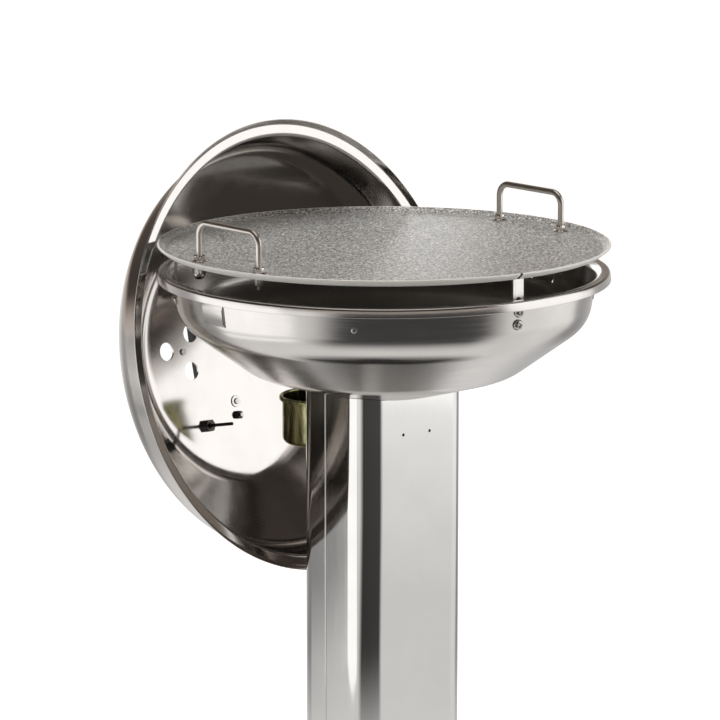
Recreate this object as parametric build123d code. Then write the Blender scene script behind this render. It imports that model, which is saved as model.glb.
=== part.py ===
from build123d import *
import os
from math import atan2, cos, degrees, radians, sin, sqrt

# Pedestal grill: a spun steel bowl on a folded column, a round griddle plate standing on three
# tabs above the bowl, and a domed lid hung by its inside hook over the rear of the bowl's lip.
# Millimetres. The origin is on the floor below the bowl's axis, the front is -Y, +Z is up.

# Clearances
seat_gap = 0.3          # between pieces that rest on or lie against each other
fit_gap = 0.1           # round a shank in its hole
hole_gap = 0.5          # round a fastener in a punched hole

# Base
pad_thickness = 3.0     # rubber sheet under the base plate
pad_inset = 10.0
base_width = 500.0
base_depth = 500.0
base_back = 20.0        # centre of the base behind the bowl's axis
base_thickness = 8.0
base_corner = 40.0

# Column of two folded half shells
column_width = 170.0
column_depth = 140.0
column_corner = 28.0
column_back = 3.0       # centre of the column behind the bowl's axis
column_wall = 1.5
column_seam = 11.0      # joint of the two shells behind the bowl's axis
strip_width = 30.0
strip_thickness = 2.0
strip_margin = 40.0     # from the end plates to the strips
front_hole = 4.0        # diameter
front_hole_spacing = 42.0
front_hole_drop = 201.5     # below the bowl's rim
end_plate = 4.0
end_flange = 25.0
base_bolt = 8.0
base_bolt_spacing_x = 110.0
base_bolt_spacing_y = 80.0

# Bowl, given on the inside face of its sheet
sheet = 1.2
rim_height = 860.0
rim_radius = 267.8
rim_round = 12.0
lip_radius = 286.8
lip_round = 4.0
lip_fall = 0.3
lip_skirt = 11.1
lip_lean = 1.3
wall_depth = 63.5
shoulder_radius = 258.8
shoulder_round = 48.0
cone_depth = 128.0
dish_radius = 170.4
dish_round = 60.0
bowl_depth = 154.8
floor_radius = 74.7
floor_round = 20.0
bowl_bolt = 8.0
bowl_bolt_circle = 50.0     # radius

# Lanced straps in the bowl's sides
strap_width = 40.0
strap_height = 26.0
strap_drop = 30.5       # middle below the rim
strap_rise = 1.6        # inside of the strap proud of the wall
strap_slit = 2.5
strap_slope = 5.0

# Pegs for a cooking grid
peg_drop = 31.0
peg_radius = 3.0
peg_length = 12.0
peg_head_radius = 3.6
peg_head_height = 1.2
peg_angle = 45.7

# Fire pot and grate
pot_radius = 70.0
pot_height = 82.0
pot_wall = 1.5
pot_ledge = 8.0
pot_ledge_height = 22.0
pot_holes = 10
pot_rows = 2
pot_hole = 9.0
pot_row_pitch = 20.0
grate_thickness = 3.0
grate_slot = 6.0
grate_pitch = 14.0

# Griddle plate
griddle_height = 28.2       # cooking face above the bowl's rim
griddle_thickness = 3.0
griddle_radius = 284.0
griddle_lip = 5.8
griddle_lip_run = 7.5
griddle_round = 6.0
griddle_turn = 2.5
slot_width = 3.6
slot_length = 13.0
slot_angle = -5.0       # drain slot from the middle of the plate's front

# Griddle handles
rod_radius = 4.0
handle_spacing = 118.0      # between the legs
handle_inset = 35.0         # legs inside the plate's edge
handle_rise = 49.3          # middle of the bar above the cooking face
handle_bend = 16.0
nut_flats = 13.0
nut_height = 6.5
nut_flange_radius = 9.0
nut_flange = 1.6
thread_radius = 2.5
sleeve_flats = 8.5      # long nut below each front leg
sleeve_height = 11.6
thread_end = 5.4        # thread below the long nut
cap_flats = 15.0        # domed nut below each rear leg
cap_height = 12.0
cap_dome = 7.5

# Griddle supports
tab_width = 16.0
tab_thickness = 2.5
tab_bottom_drop = 44.0
tab_bend_drop = 14.0
tab_inset = 18.7        # top of each strip inside the plate's edge
tab_clear = 2.0         # strip stays upright to this height above the rim
tab_land = 8.0          # upright end under the plate
tab_count = 3
tab_hole = 8.4
tab_hole_drop = 3.2
tab_screw_drops = (17.5, 33.5)
screw_radius = 2.5
screw_head_radius = 7.0
screw_head_height = 4.0
screw_nut_flats = 8.0
screw_nut_height = 4.0
recess_width = 1.4
recess_length = 6.5
recess_depth = 1.5
bolt_end = 2.5          # bolt ends past their nuts

# Ash and grease cup behind the column
cup_back = 134.0
cup_radius = 50.0
cup_rim_radius = 54.0
cup_height = 62.0
cup_drop = 185.0        # cup's top edge below the bowl's rim
cup_wall = 1.0
cup_rim_skirt = 5.0
cup_round = 6.0
drain_radius = 9.0
drain_wall = 1.5
drain_clear = 3.0       # drain ends above the cup's top edge
drain_stand = 2.0
holder_thickness = 2.0
holder_width = 28.0
holder_height = 56.0
holder_drop = 33.0      # holder's middle below the cup's top edge
holder_block = 24.0     # width of the block between plate and saddle
holder_wrap = 36.0      # half angle of the saddle round the cup
saddle_height = 26.0
saddle_gap = 0.4
magnet_radius = 8.0
magnet_thickness = 3.0
holder_screw = 5.0
holder_screw_spacing = 42.0

# Lid, drawn closed with its rim at z = 0, then hung
lid_radius = 295.0
lid_hem_run = 5.5
lid_hem_rise = 6.0
lid_flange_run = 14.0
lid_flange_rise = 3.5
lid_wall_run = 7.5
lid_wall_rise = 55.5
lid_top_radius = 158.0
lid_depth = 146.0
lid_hem_round = 4.0
lid_round = 48.0
lid_top_round = 60.0
lid_side = 2.2
lid_reach = 94.5        # lid's rim centre in front of the bowl's rear rim
lid_hang = 124.6        # lid's rim centre below the bowl's rim
lid_turn = 8.6
lid_tilt = 12.0

# Lid hook
hook_width = 26.0
hook_thickness = 2.5
hook_finger = 4.5
hook_finger_gap = 5.0   # finger's rear face in front of the bowl's rim
hook_run = 33.0
hook_foot = 29.0
hook_foot_up = 93.0
rivet_radius = 2.4
rivet_head_radius = 5.0
rivet_head = 1.6

# Lid handle
bracket_post_up = 54.0      # inner face of each upright from the lid's middle
bracket_end_up = 94.0
bracket_width = 24.0
bracket_thickness = 2.5
bracket_bend = 5.0
grip_rise = 55.0
grip_radius = 12.0
grip_round = 2.0
grip_screw_radius = 2.5
grip_screw_depth = 18.0
handle_bolt_up = 84.5
handle_bolt_radius = 3.0
handle_nut_flats = 10.0
handle_nut_height = 6.0
handle_rivet_up = 66.0
washer_radius = 8.0
washer_thickness = 1.2

# Lid vent
vent_x = -80.5
vent_up = 11.5
vent_hole = 24.0
vent_circle = 28.5
vent_angle = 51.4       # direction of one vent hole, counted from +X upwards
vent_count = 3
damper_radius = 44.0
damper_thickness = 1.2
damper_tab = 14.0
damper_tab_rise = 12.0
pivot_radius = 2.5
pivot_head_radius = 6.0
pivot_head = 2.0

# Lid thermometer
gauge_x = -58.0
gauge_up = -90.5
gauge_radius = 26.0
gauge_height = 14.0
gauge_wall = 2.5
gauge_floor = 3.0
gauge_neck_radius = 4.0
gauge_nut_flats = 15.0
gauge_nut_height = 8.0
stem_radius = 2.2
stem_length = 50.0
dial_thickness = 0.6
arbor_radius = 1.0
arbor_height = 3.5
needle_length = 17.0
needle_tail = 6.0
needle_width = 1.6
needle_thickness = 0.6
hub_radius = 2.6
hub_height = 1.4
glass_thickness = 2.0
glass_inset = 1.5
bezel_height = 2.0
bezel_lap = 2.5
bezel_over = 1.0
needle_cold = 225.0

os.makedirs("parts", exist_ok=True)


def save(name, shape):
    export_step(shape, f"parts/{name}.step")


def parallel(points, distance):
    # Mitred copy of an open line of points, moved to its left
    moved = []
    last = len(points) - 1
    for i, point in enumerate(points):
        here = Vector(*point)
        before = Vector(*points[max(i - 1, 0)])
        after = Vector(*points[min(i + 1, last)])
        leave = (after - here).normalized() if i < last else (here - before).normalized()
        arrive = (here - before).normalized() if i > 0 else leave
        middle = (arrive + leave).normalized()
        normal = Vector(-middle.Y, middle.X)
        stretch = distance / normal.dot(Vector(-arrive.Y, arrive.X))
        moved.append((here.X + normal.X * stretch, here.Y + normal.Y * stretch))
    return moved


def other_radii(points, radii, distance):
    # Corner radii of the moved copy, so that the sheet keeps its thickness round each bend
    changed = []
    for i, radius in enumerate(radii):
        a = Vector(*points[i + 1]) - Vector(*points[i])
        b = Vector(*points[i + 2]) - Vector(*points[i + 1])
        left_turn = a.X * b.Y - a.Y * b.X > 0
        inner = max(radius - distance, 0)
        changed.append(inner if left_turn else radius + distance)
    return changed


def sheet_face(points, radii, thickness):
    # Section of a sheet bent along a line of points, lying to the line's left
    far = parallel(points, thickness)
    near_side = FilletPolyline(*points, radius=radii)
    far_side = FilletPolyline(*far, radius=other_radii(points, radii, thickness))
    start = Line(points[0], far[0])
    end = Line(points[-1], far[-1])
    return make_face(near_side + end + far_side + start)


def spin(face):
    return revolve(Plane.XZ * face, Axis.Z)


def tube(radius, bore, height):
    return extrude(Circle(radius) - Circle(bore), height)


def stub(radius, height):
    # Cylinder standing on z = 0
    return Cylinder(radius, height, align=(Align.CENTER, Align.CENTER, Align.MIN))


def pan_head(radius, height, rounding):
    # Screw head standing on z = 0 with its upper edge rounded
    return fillet(stub(radius, height).edges().sort_by(Axis.Z)[-1], rounding * height)


def hex_nut(flats, height, bore):
    return extrude(RegularPolygon(flats / 2, 6, major_radius=False) - Circle(bore), height)


def bent_rod(points, bend, radius):
    path = FilletPolyline(*points, radius=bend)
    section = Plane(origin=path @ 0, z_dir=path % 0) * Circle(radius)
    return sweep(section, path=path)


def group(pieces):
    return Compound(children=list(pieces))


# Bowl
rim_z = rim_height
bowl_line = [
    (lip_radius, rim_z - lip_fall - lip_skirt),
    (lip_radius - lip_lean, rim_z - lip_fall),
    (rim_radius, rim_z),
    (shoulder_radius, rim_z - wall_depth),
    (dish_radius, rim_z - cone_depth),
    (floor_radius, rim_z - bowl_depth),
    (0, rim_z - bowl_depth),
]
bowl_rounds = [lip_round, rim_round, shoulder_round, dish_round, floor_round]
wall_lean = (rim_radius - shoulder_radius) / wall_depth
wall_angle = degrees(atan2(rim_radius - shoulder_radius, wall_depth))
dish_slope = (bowl_depth - cone_depth) / (dish_radius - floor_radius)
bowl_floor_z = rim_z - bowl_depth
bowl_under_z = bowl_floor_z - sheet
wall_thick_level = sheet / cos(radians(wall_angle))


def wall_inside(drop):
    # Inside radius of the bowl's wall at a height below the rim
    return rim_radius - drop * wall_lean


def wall_plane(drop, angle):
    # Frame on the outside of the bowl's wall, z outward, at an angle from the front
    turn = radians(angle)
    lean = radians(wall_angle)
    out = wall_inside(drop) + wall_thick_level
    normal = (sin(turn) * cos(lean), -cos(turn) * cos(lean), -sin(lean))
    across = (cos(turn), sin(turn), 0)
    return Plane(origin=(out * sin(turn), -out * cos(turn), rim_z - drop), x_dir=across, z_dir=normal)


bowl = spin(sheet_face(bowl_line, bowl_rounds, sheet))
bowl_top_z = bowl.bounding_box().max.Z
drain_z = bowl_floor_z + (cup_back - floor_radius) * dish_slope

strap_section = [
    (0, -strap_height / 2),
    (strap_rise, -strap_height / 2 + strap_slope),
    (strap_rise, strap_height / 2 - strap_slope),
    (0, strap_height / 2),
]
strap_overlap = 0.4
for side in (-90, 90):
    frame = wall_plane(strap_drop, side)
    window_depth = 4 * sheet + strap_width ** 2 / (4 * rim_radius)
    window = Box(strap_width + 2 * strap_slit, strap_height, 2 * window_depth)
    band_outline = Polyline(*strap_section, *reversed(parallel(strap_section, -sheet)), close=True)
    band = extrude(make_face(band_outline), strap_width / 2, both=True)
    sagitta = strap_width ** 2 / (8 * wall_inside(strap_drop))
    band = Plane(origin=(0, 0, -sheet), x_dir=(0, 0, 1), z_dir=(1, 0, 0)) * band
    foot_low = Pos(0, -strap_height / 2, -sheet / 2 - sagitta / 2) * Box(
        strap_width, 2 * strap_overlap, sheet + sagitta)
    foot_high = Pos(0, strap_height / 2, -sheet / 2 - sagitta / 2) * Box(
        strap_width, 2 * strap_overlap, sheet + sagitta)
    bowl = bowl - frame * window
    bowl = bowl + frame * (band + foot_low + foot_high)

screw_hole = screw_radius + hole_gap / 2
for i in range(tab_count):
    for drop in tab_screw_drops:
        bowl = bowl - wall_plane(drop, i * 360 / tab_count) * Cylinder(screw_hole, 8 * sheet)
peg_angles = (-180 + peg_angle, -peg_angle, peg_angle, 180 - peg_angle)
for angle in peg_angles:
    bowl = bowl - wall_plane(peg_drop, angle) * Cylinder(peg_radius + fit_gap, 8 * sheet)
bolt_spots = [Pos(x * bowl_bolt_circle * sqrt(0.5), y * bowl_bolt_circle * sqrt(0.5), 0)
              for x in (-1, 1) for y in (-1, 1)]
for spot in bolt_spots:
    bowl = bowl - Pos(0, 0, bowl_floor_z) * spot * Cylinder((bowl_bolt + hole_gap) / 2, 8 * sheet)
bowl = bowl - Pos(0, cup_back, drain_z) * Cylinder(drain_radius + fit_gap, 20 * sheet)
save("bowl", bowl)

# Base plate on a rubber sheet
base_z = pad_thickness + fit_gap
base_top_z = base_z + base_thickness
base_bolt_spots = [Pos(x * base_bolt_spacing_x / 2, column_back + y * base_bolt_spacing_y / 2, 0)
                   for x in (-1, 1) for y in (-1, 1)]
base_outline = RectangleRounded(base_width, base_depth, base_corner)
base = Pos(0, base_back, base_z) * extrude(base_outline, base_thickness)
base = chamfer(base.faces().sort_by(Axis.Z)[-1].edges(), 1)
for spot in base_bolt_spots:
    base = base - Pos(0, 0, base_z) * spot * Cylinder((base_bolt + hole_gap) / 2, 4 * base_thickness)
    base = base - Pos(0, 0, base_z) * spot * Cylinder(base_bolt + hole_gap, base_thickness)
save("base_plate", base)

pad_outline = RectangleRounded(base_width - 2 * pad_inset, base_depth - 2 * pad_inset, base_corner - pad_inset)
save("base_pad", Pos(0, base_back, 0) * extrude(pad_outline, pad_thickness))

# Column: end plates, two shells and the strips behind their joints
inner_width = column_width - 2 * column_wall
inner_depth = column_depth - 2 * column_wall
inner_corner = column_corner - column_wall
plate_width = inner_width - 2 * fit_gap
plate_depth = inner_depth - 2 * fit_gap
plate_corner = inner_corner - fit_gap
saddle_z = bowl_under_z - end_plate


def end_pan(bolt_circle_spots, bolt):
    # Plate with a flange turned down all round
    pan = extrude(RectangleRounded(plate_width, plate_depth, plate_corner), end_flange)
    pocket = RectangleRounded(plate_width - 2 * end_plate, plate_depth - 2 * end_plate,
                              plate_corner - end_plate)
    pan = pan - extrude(pocket, end_flange - end_plate)
    for spot in bolt_circle_spots:
        pan = pan - Pos(0, -column_back, 0) * spot * Cylinder((bolt + hole_gap) / 2, 4 * end_flange)
    return pan


saddle = Pos(0, column_back, bowl_under_z - end_flange) * end_pan(bolt_spots, bowl_bolt)
save("bowl_saddle", saddle)
column_foot = end_pan(base_bolt_spots, base_bolt).mirror(Plane.XY)
column_foot = Pos(0, column_back, base_top_z + end_flange) * column_foot
save("column_foot", column_foot)

outside_gap = sheet + seat_gap
keep_line = parallel(bowl_line[2:], outside_gap)
keep_rounds = other_radii(bowl_line[2:], bowl_rounds[2:], outside_gap)
bowl_space_line = FilletPolyline(*keep_line, radius=keep_rounds)
bowl_space_top = (0, keep_line[0][1])
bowl_space = spin(make_face(bowl_space_line + Line(keep_line[-1], bowl_space_top)
                            + Line(bowl_space_top, keep_line[0])))

column_length = keep_line[2][1] - base_top_z
ring = (RectangleRounded(column_width, column_depth, column_corner)
        - RectangleRounded(inner_width, inner_depth, inner_corner))
seam_at = column_seam - column_back
half_size = column_width + column_depth
front_half = ring & Pos(0, seam_at - half_size / 2 - fit_gap / 2) * Rectangle(2 * half_size, half_size)
rear_half = ring & Pos(0, seam_at + half_size / 2 + fit_gap / 2) * Rectangle(2 * half_size, half_size)
column_place = Pos(0, column_back, base_top_z)
front_shell = column_place * extrude(front_half, column_length) - bowl_space
rear_shell = column_place * extrude(rear_half, column_length) - bowl_space
front_face_y = column_back - column_depth / 2
rear_face_y = column_back + column_depth / 2
for x in (-front_hole_spacing / 2, front_hole_spacing / 2):
    drill = Rot(90, 0, 0) * Cylinder(front_hole / 2, 4 * column_wall)
    front_shell = front_shell - Pos(x, front_face_y, rim_z - front_hole_drop) * drill
holder_z = rim_z - cup_drop - holder_drop
holder_screw_spots = [Pos(0, 0, holder_z + end * holder_screw_spacing / 2) for end in (-1, 1)]
for spot in holder_screw_spots:
    drill = Rot(90, 0, 0) * Cylinder((holder_screw + hole_gap) / 2, 4 * column_wall)
    rear_shell = rear_shell - spot * Pos(0, rear_face_y, 0) * drill
save("column_front_shell", front_shell)
save("column_rear_shell", rear_shell)

strip_bottom = base_top_z + end_flange + strip_margin
strip_length = saddle_z - end_flange - strip_margin - strip_bottom
strip_y = min(max(column_seam, column_back - column_depth / 2 + column_corner + strip_width / 2),
              column_back + column_depth / 2 - column_corner - strip_width / 2)
for side, name in ((-1, "left"), (1, "right")):
    strip = Pos(side * (inner_width - strip_thickness) / 2, strip_y, strip_bottom + strip_length / 2) * Box(
        strip_thickness, strip_width, strip_length)
    save(f"seam_strip_{name}", strip)

# Bolts that hold the bowl on the saddle and the column's foot on the base
bolt_head_radius = 0.85 * bowl_bolt
bolt_head_height = 0.6 * bowl_bolt
bolt_nut_height = 0.8 * bowl_bolt
bowl_stack = sheet + end_plate
bowl_bolts = []
bowl_nuts = []
for spot in bolt_spots:
    shank_length = bowl_stack + seat_gap + bolt_nut_height + bolt_end
    shank = Pos(0, 0, -shank_length) * stub(bowl_bolt / 2, shank_length + bolt_head_height / 2)
    head = pan_head(bolt_head_radius, bolt_head_height, 0.33)
    bowl_bolts.append(Pos(0, 0, bowl_floor_z + fit_gap) * spot * (shank + head))
    nut = hex_nut(1.6 * bowl_bolt, bolt_nut_height, bowl_bolt / 2 + fit_gap)
    bowl_nuts.append(Pos(0, 0, saddle_z - fit_gap - bolt_nut_height) * spot * nut)
save("bowl_bolts", group(bowl_bolts))
save("bowl_nuts", group(bowl_nuts))

base_bolts = []
base_nuts = []
base_nut_height = 0.8 * base_bolt
for spot in base_bolt_spots:
    sunk_head = stub(base_bolt - fit_gap, base_thickness / 2 - 2 * fit_gap)
    shank_length = base_thickness + end_plate + base_nut_height + bolt_end
    shank = stub(base_bolt / 2, shank_length)
    base_bolts.append(Pos(0, 0, base_z + fit_gap) * spot * (sunk_head + shank))
    nut = hex_nut(1.6 * base_bolt, base_nut_height, base_bolt / 2 + fit_gap)
    base_nuts.append(Pos(0, 0, base_top_z + end_plate + fit_gap) * spot * nut)
save("base_bolts", group(base_bolts))
save("base_nuts", group(base_nuts))

# Fire pot standing on the bowl's floor, with its grate on an inner ledge
pot_bottom = bowl_floor_z + fit_gap
pot = Pos(0, 0, pot_bottom) * tube(pot_radius, pot_radius - pot_wall, pot_height)
ledge = Pos(0, 0, pot_bottom + pot_ledge_height) * tube(
    pot_radius - pot_wall / 2, pot_radius - pot_wall - pot_ledge, pot_wall)
pot = pot + ledge
first_row = pot_bottom + pot_ledge_height + pot_row_pitch
for row in range(pot_rows):
    height = first_row + row * pot_row_pitch
    for i in range(pot_holes):
        angle = (i + 0.5 * (row % 2)) * 360 / pot_holes
        drill = Rot(0, 0, angle) * Pos(pot_radius, 0, height) * Rot(0, 90, 0) * Cylinder(
            pot_hole / 2, 4 * pot_wall)
        pot = pot - drill
for i in range(pot_holes):
    drill = Rot(0, 0, i * 360 / pot_holes) * Pos(pot_radius, 0, pot_bottom + pot_ledge_height / 2) * Rot(
        0, 90, 0) * Cylinder(pot_hole / 2, 4 * pot_wall)
    pot = pot - drill
save("fire_pot", pot)

grate_radius = pot_radius - pot_wall - hole_gap
grate_z = pot_bottom + pot_ledge_height + pot_wall + fit_gap
grate = Circle(grate_radius)
slot_zone = grate_radius - pot_ledge
slot_steps = int(slot_zone // grate_pitch)
for i in range(-slot_steps, slot_steps + 1):
    half_chord = sqrt(slot_zone ** 2 - (i * grate_pitch) ** 2)
    if half_chord > grate_slot:
        grate = grate - Pos(0, i * grate_pitch) * SlotOverall(2 * half_chord, grate_slot)
save("fire_grate", Pos(0, 0, grate_z) * extrude(grate, grate_thickness))

# Griddle supports: strips that lie on the bowl's inside wall and stand up past the rim
griddle_under_z = rim_z + griddle_height - griddle_thickness
tab_gap = seat_gap + tab_width ** 2 / (8 * rim_radius)
tab_upright = wall_inside(tab_bend_drop) - tab_gap
tab_top = griddle_radius - tab_inset
tab_line = [
    (wall_inside(tab_bottom_drop) - tab_gap, rim_z - tab_bottom_drop),
    (tab_upright, rim_z - tab_bend_drop),
    (tab_upright, rim_z + tab_clear),
    (tab_top, griddle_under_z - tab_land),
    (tab_top, griddle_under_z - seat_gap),
]
tab_face = make_face(Polyline(*tab_line, *reversed(parallel(tab_line, tab_thickness)), close=True))
tab_blank = Rot(0, 0, -90) * extrude(Plane.XZ * tab_face, tab_width / 2, both=True)
upper_hole = Rot(90, 0, 0) * Cylinder(tab_hole / 2, 4 * rim_radius)
tab_blank = tab_blank - Pos(0, 0, rim_z - tab_hole_drop) * upper_hole
for drop in tab_screw_drops:
    tab_blank = tab_blank - wall_plane(drop, 0) * Cylinder(screw_hole, 20 * tab_thickness)
tab_names = ("front", "right", "left")
screws = []
screw_nuts = []
tab_stack = sheet + tab_gap + tab_thickness
for i in range(tab_count):
    turn = i * 360 / tab_count
    name = tab_names[i] if i < len(tab_names) else str(i)
    save(f"griddle_support_{name}", Rot(0, 0, turn) * tab_blank)
    for drop in tab_screw_drops:
        place = wall_plane(drop, turn)
        head = pan_head(screw_head_radius, screw_head_height, 0.7)
        recess = Box(recess_width, recess_length, 2 * recess_depth)
        recess = recess + Box(recess_length, recess_width, 2 * recess_depth)
        recess = Pos(0, 0, screw_head_height) * recess
        shank_length = tab_stack + screw_nut_height + bolt_end
        shank = Pos(0, 0, -shank_length) * stub(screw_radius, shank_length + screw_head_height / 2)
        screws.append(place * Pos(0, 0, seat_gap) * (shank + head - recess))
        nut = hex_nut(screw_nut_flats, screw_nut_height, screw_radius + fit_gap)
        nut_depth = tab_stack + 2 * seat_gap + screw_nut_height
        screw_nuts.append(place * Pos(0, 0, -nut_depth) * nut)
save("support_screws", group(screws))
save("support_nuts", group(screw_nuts))

# Grid pegs riveted in the bowl's wall
pegs = []
for angle in peg_angles:
    head = pan_head(peg_head_radius, peg_head_height, 0.6)
    shank = Pos(0, 0, -sheet - peg_length) * stub(peg_radius, sheet + peg_length + peg_head_height / 2)
    pegs.append(wall_plane(peg_drop, angle) * Pos(0, 0, fit_gap) * (head + shank))
save("grid_pegs", group(pegs))

# Drain, cup holder and cup behind the column
cup_top_z = rim_z - cup_drop
drain_top = drain_z + drain_stand + drain_radius * dish_slope
drain_bottom = cup_top_z + drain_clear
drain = tube(drain_radius, drain_radius - drain_wall, drain_top - drain_bottom)
save("drain_tube", Pos(0, cup_back, drain_bottom) * drain)

arm_start = rear_face_y + seat_gap
seat_radius = cup_radius + saddle_gap
seat_outer = seat_radius + holder_thickness
plate = Pos(0, arm_start + holder_thickness / 2, holder_z) * Box(holder_width, holder_thickness, holder_height)
saddle_ring = Pos(0, cup_back, holder_z - saddle_height / 2) * tube(seat_outer, seat_radius, saddle_height)
reach = 2 * seat_outer
sector = make_face(Polyline((0, 0), (-reach * sin(radians(holder_wrap)), -reach * cos(radians(holder_wrap))),
                            (reach * sin(radians(holder_wrap)), -reach * cos(radians(holder_wrap))), close=True))
sector = Pos(0, cup_back, holder_z - saddle_height / 2) * extrude(sector, saddle_height)
block_length = cup_back - arm_start
block = Pos(0, arm_start + block_length / 2, holder_z) * Box(holder_block, block_length, saddle_height)
cup_space = Pos(0, cup_back, holder_z) * Cylinder(seat_radius, 2 * holder_height)
holder = plate + (saddle_ring & sector) + (block - cup_space)
magnet_face_y = cup_back - seat_radius - saddle_gap
magnet_pocket = Pos(0, magnet_face_y - magnet_thickness - fit_gap, holder_z) * Rot(-90, 0, 0) * stub(
    magnet_radius + fit_gap, cup_radius)
holder = holder - magnet_pocket
for spot in holder_screw_spots:
    drill = Rot(90, 0, 0) * Cylinder((holder_screw + hole_gap) / 2, 8 * holder_thickness)
    holder = holder - spot * Pos(0, arm_start, 0) * drill
save("cup_holder", holder)
magnet = fillet(stub(magnet_radius, magnet_thickness).edges().filter_by(GeomType.CIRCLE), 0.4)
save("cup_magnet", Pos(0, magnet_face_y - magnet_thickness, holder_z) * Rot(-90, 0, 0) * magnet)

holder_screws = []
for spot in holder_screw_spots:
    head_radius = 0.9 * holder_screw
    head_height = 0.5 * holder_screw
    shank_length = holder_thickness + seat_gap + column_wall + holder_screw
    head = pan_head(head_radius, head_height, 0.5)
    shank = Pos(0, 0, -shank_length) * stub(holder_screw / 2, shank_length + head_height / 2)
    place = spot * Pos(0, arm_start + holder_thickness + fit_gap, 0) * Rot(-90, 0, 0)
    holder_screws.append(place * (head + shank))
save("cup_holder_screws", group(holder_screws))

cup_floor_z = cup_top_z - cup_height + cup_wall
cup_line = [
    (0, cup_floor_z),
    (cup_radius - cup_wall, cup_floor_z),
    (cup_radius - cup_wall, cup_top_z),
    (cup_rim_radius, cup_top_z),
    (cup_rim_radius, cup_top_z - cup_rim_skirt),
]
cup_roll = 0.48 * (cup_rim_radius - cup_radius + cup_wall)
cup = spin(sheet_face(cup_line, [cup_round, cup_roll, cup_roll], -cup_wall))
save("drip_cup", Pos(0, cup_back, 0) * cup)

# Griddle plate with its drain slot and two bent handles
griddle_top_z = rim_z + griddle_height
griddle_line = [
    (griddle_radius, griddle_top_z + griddle_lip),
    (griddle_radius - griddle_lip_run, griddle_top_z),
    (0, griddle_top_z),
]
griddle = spin(sheet_face(griddle_line, [griddle_round], griddle_thickness))
slot = Rot(0, 0, slot_angle) * Pos(0, -griddle_radius - griddle_thickness, griddle_top_z) * Box(
    slot_width, 2 * slot_length, 4 * (griddle_lip + griddle_thickness))
griddle = griddle - slot
handle_offset = griddle_radius - handle_inset
leg_spots = [Pos(x * handle_offset, y * handle_spacing / 2, 0) for x in (-1, 1) for y in (-1, 1)]
for spot in leg_spots:
    griddle = griddle - spot * Pos(0, 0, griddle_top_z) * Cylinder(
        thread_radius + hole_gap / 2, 4 * griddle_thickness)
griddle_place = Rot(0, 0, griddle_turn)
save("griddle_plate", griddle_place * griddle)

bar_z = griddle_top_z + handle_rise
leg_foot_z = griddle_top_z + fit_gap
front_thread = griddle_thickness + sleeve_height + thread_end
rear_thread = griddle_thickness + cap_height
for side, name in ((-1, "left"), (1, "right")):
    x = side * handle_offset
    points = [
        (x, -handle_spacing / 2, leg_foot_z),
        (x, -handle_spacing / 2, bar_z),
        (x, handle_spacing / 2, bar_z),
        (x, handle_spacing / 2, leg_foot_z),
    ]
    handle = bent_rod(points, handle_bend, rod_radius)
    for y, length in ((-handle_spacing / 2, front_thread), (handle_spacing / 2, rear_thread)):
        handle = handle + Pos(x, y, griddle_top_z - length) * stub(thread_radius, length + rod_radius)
    save(f"griddle_handle_{name}", griddle_place * handle)

flange_nut = hex_nut(nut_flats, nut_height + nut_flange, rod_radius + fit_gap)
flange_nut = flange_nut + tube(nut_flange_radius, rod_radius + fit_gap, nut_flange)
save("handle_flange_nuts", group(
    griddle_place * spot * Pos(0, 0, griddle_top_z + fit_gap) * flange_nut for spot in leg_spots))
sleeve_nut = Pos(0, 0, -sleeve_height) * hex_nut(sleeve_flats, sleeve_height, thread_radius + fit_gap)
dome = stub(cap_flats / 2, cap_dome)
dome = fillet(dome.edges().sort_by(Axis.Z)[-1], 0.95 * min(cap_dome, cap_flats / 2))
dome = Pos(0, 0, -cap_height - fit_gap) * Rot(180, 0, 0) * dome
cap_nut = Pos(0, 0, -cap_height - 2 * fit_gap) * hex_nut(
    cap_flats, cap_height + 2 * fit_gap, thread_radius + fit_gap) + dome
front_spots = [spot for spot in leg_spots if spot.position.Y < 0]
rear_spots = [spot for spot in leg_spots if spot.position.Y > 0]
nut_seat = Pos(0, 0, griddle_under_z - fit_gap)
save("handle_sleeve_nuts", group(griddle_place * spot * nut_seat * sleeve_nut for spot in front_spots))
save("handle_cap_nuts", group(griddle_place * spot * nut_seat * cap_nut for spot in rear_spots))

# Lid drawn closed, then hung behind the bowl with its opening to the front
hung_turn = radians(lid_turn)
hung_tilt = radians(lid_tilt)
lid_back = rim_radius - lid_reach
lid_z = rim_z - lid_hang
lid_axis = (-sin(hung_turn) * cos(hung_tilt), cos(hung_turn) * cos(hung_tilt), -sin(hung_tilt))
lid_across = (cos(hung_turn), sin(hung_turn), 0)
lid_place = Plane(origin=(lid_side, lid_back, lid_z), x_dir=lid_across, z_dir=lid_axis)
lid_wall_radius = lid_radius - lid_hem_run - lid_flange_run
lid_wall_foot = lid_hem_rise + lid_flange_rise
lid_line = [
    (lid_radius, 0),
    (lid_radius - lid_hem_run, lid_hem_rise),
    (lid_wall_radius, lid_wall_foot),
    (lid_wall_radius - lid_wall_run, lid_wall_foot + lid_wall_rise),
    (lid_top_radius, lid_depth),
    (0, lid_depth),
]
lid = spin(sheet_face(lid_line, [lid_hem_round, lid_hem_round, lid_round, lid_top_round], sheet))
lid_inside = lid_depth - sheet
through = 8 * sheet


def on_lid(x, up, height):
    return Pos(x, -up, height)


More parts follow.
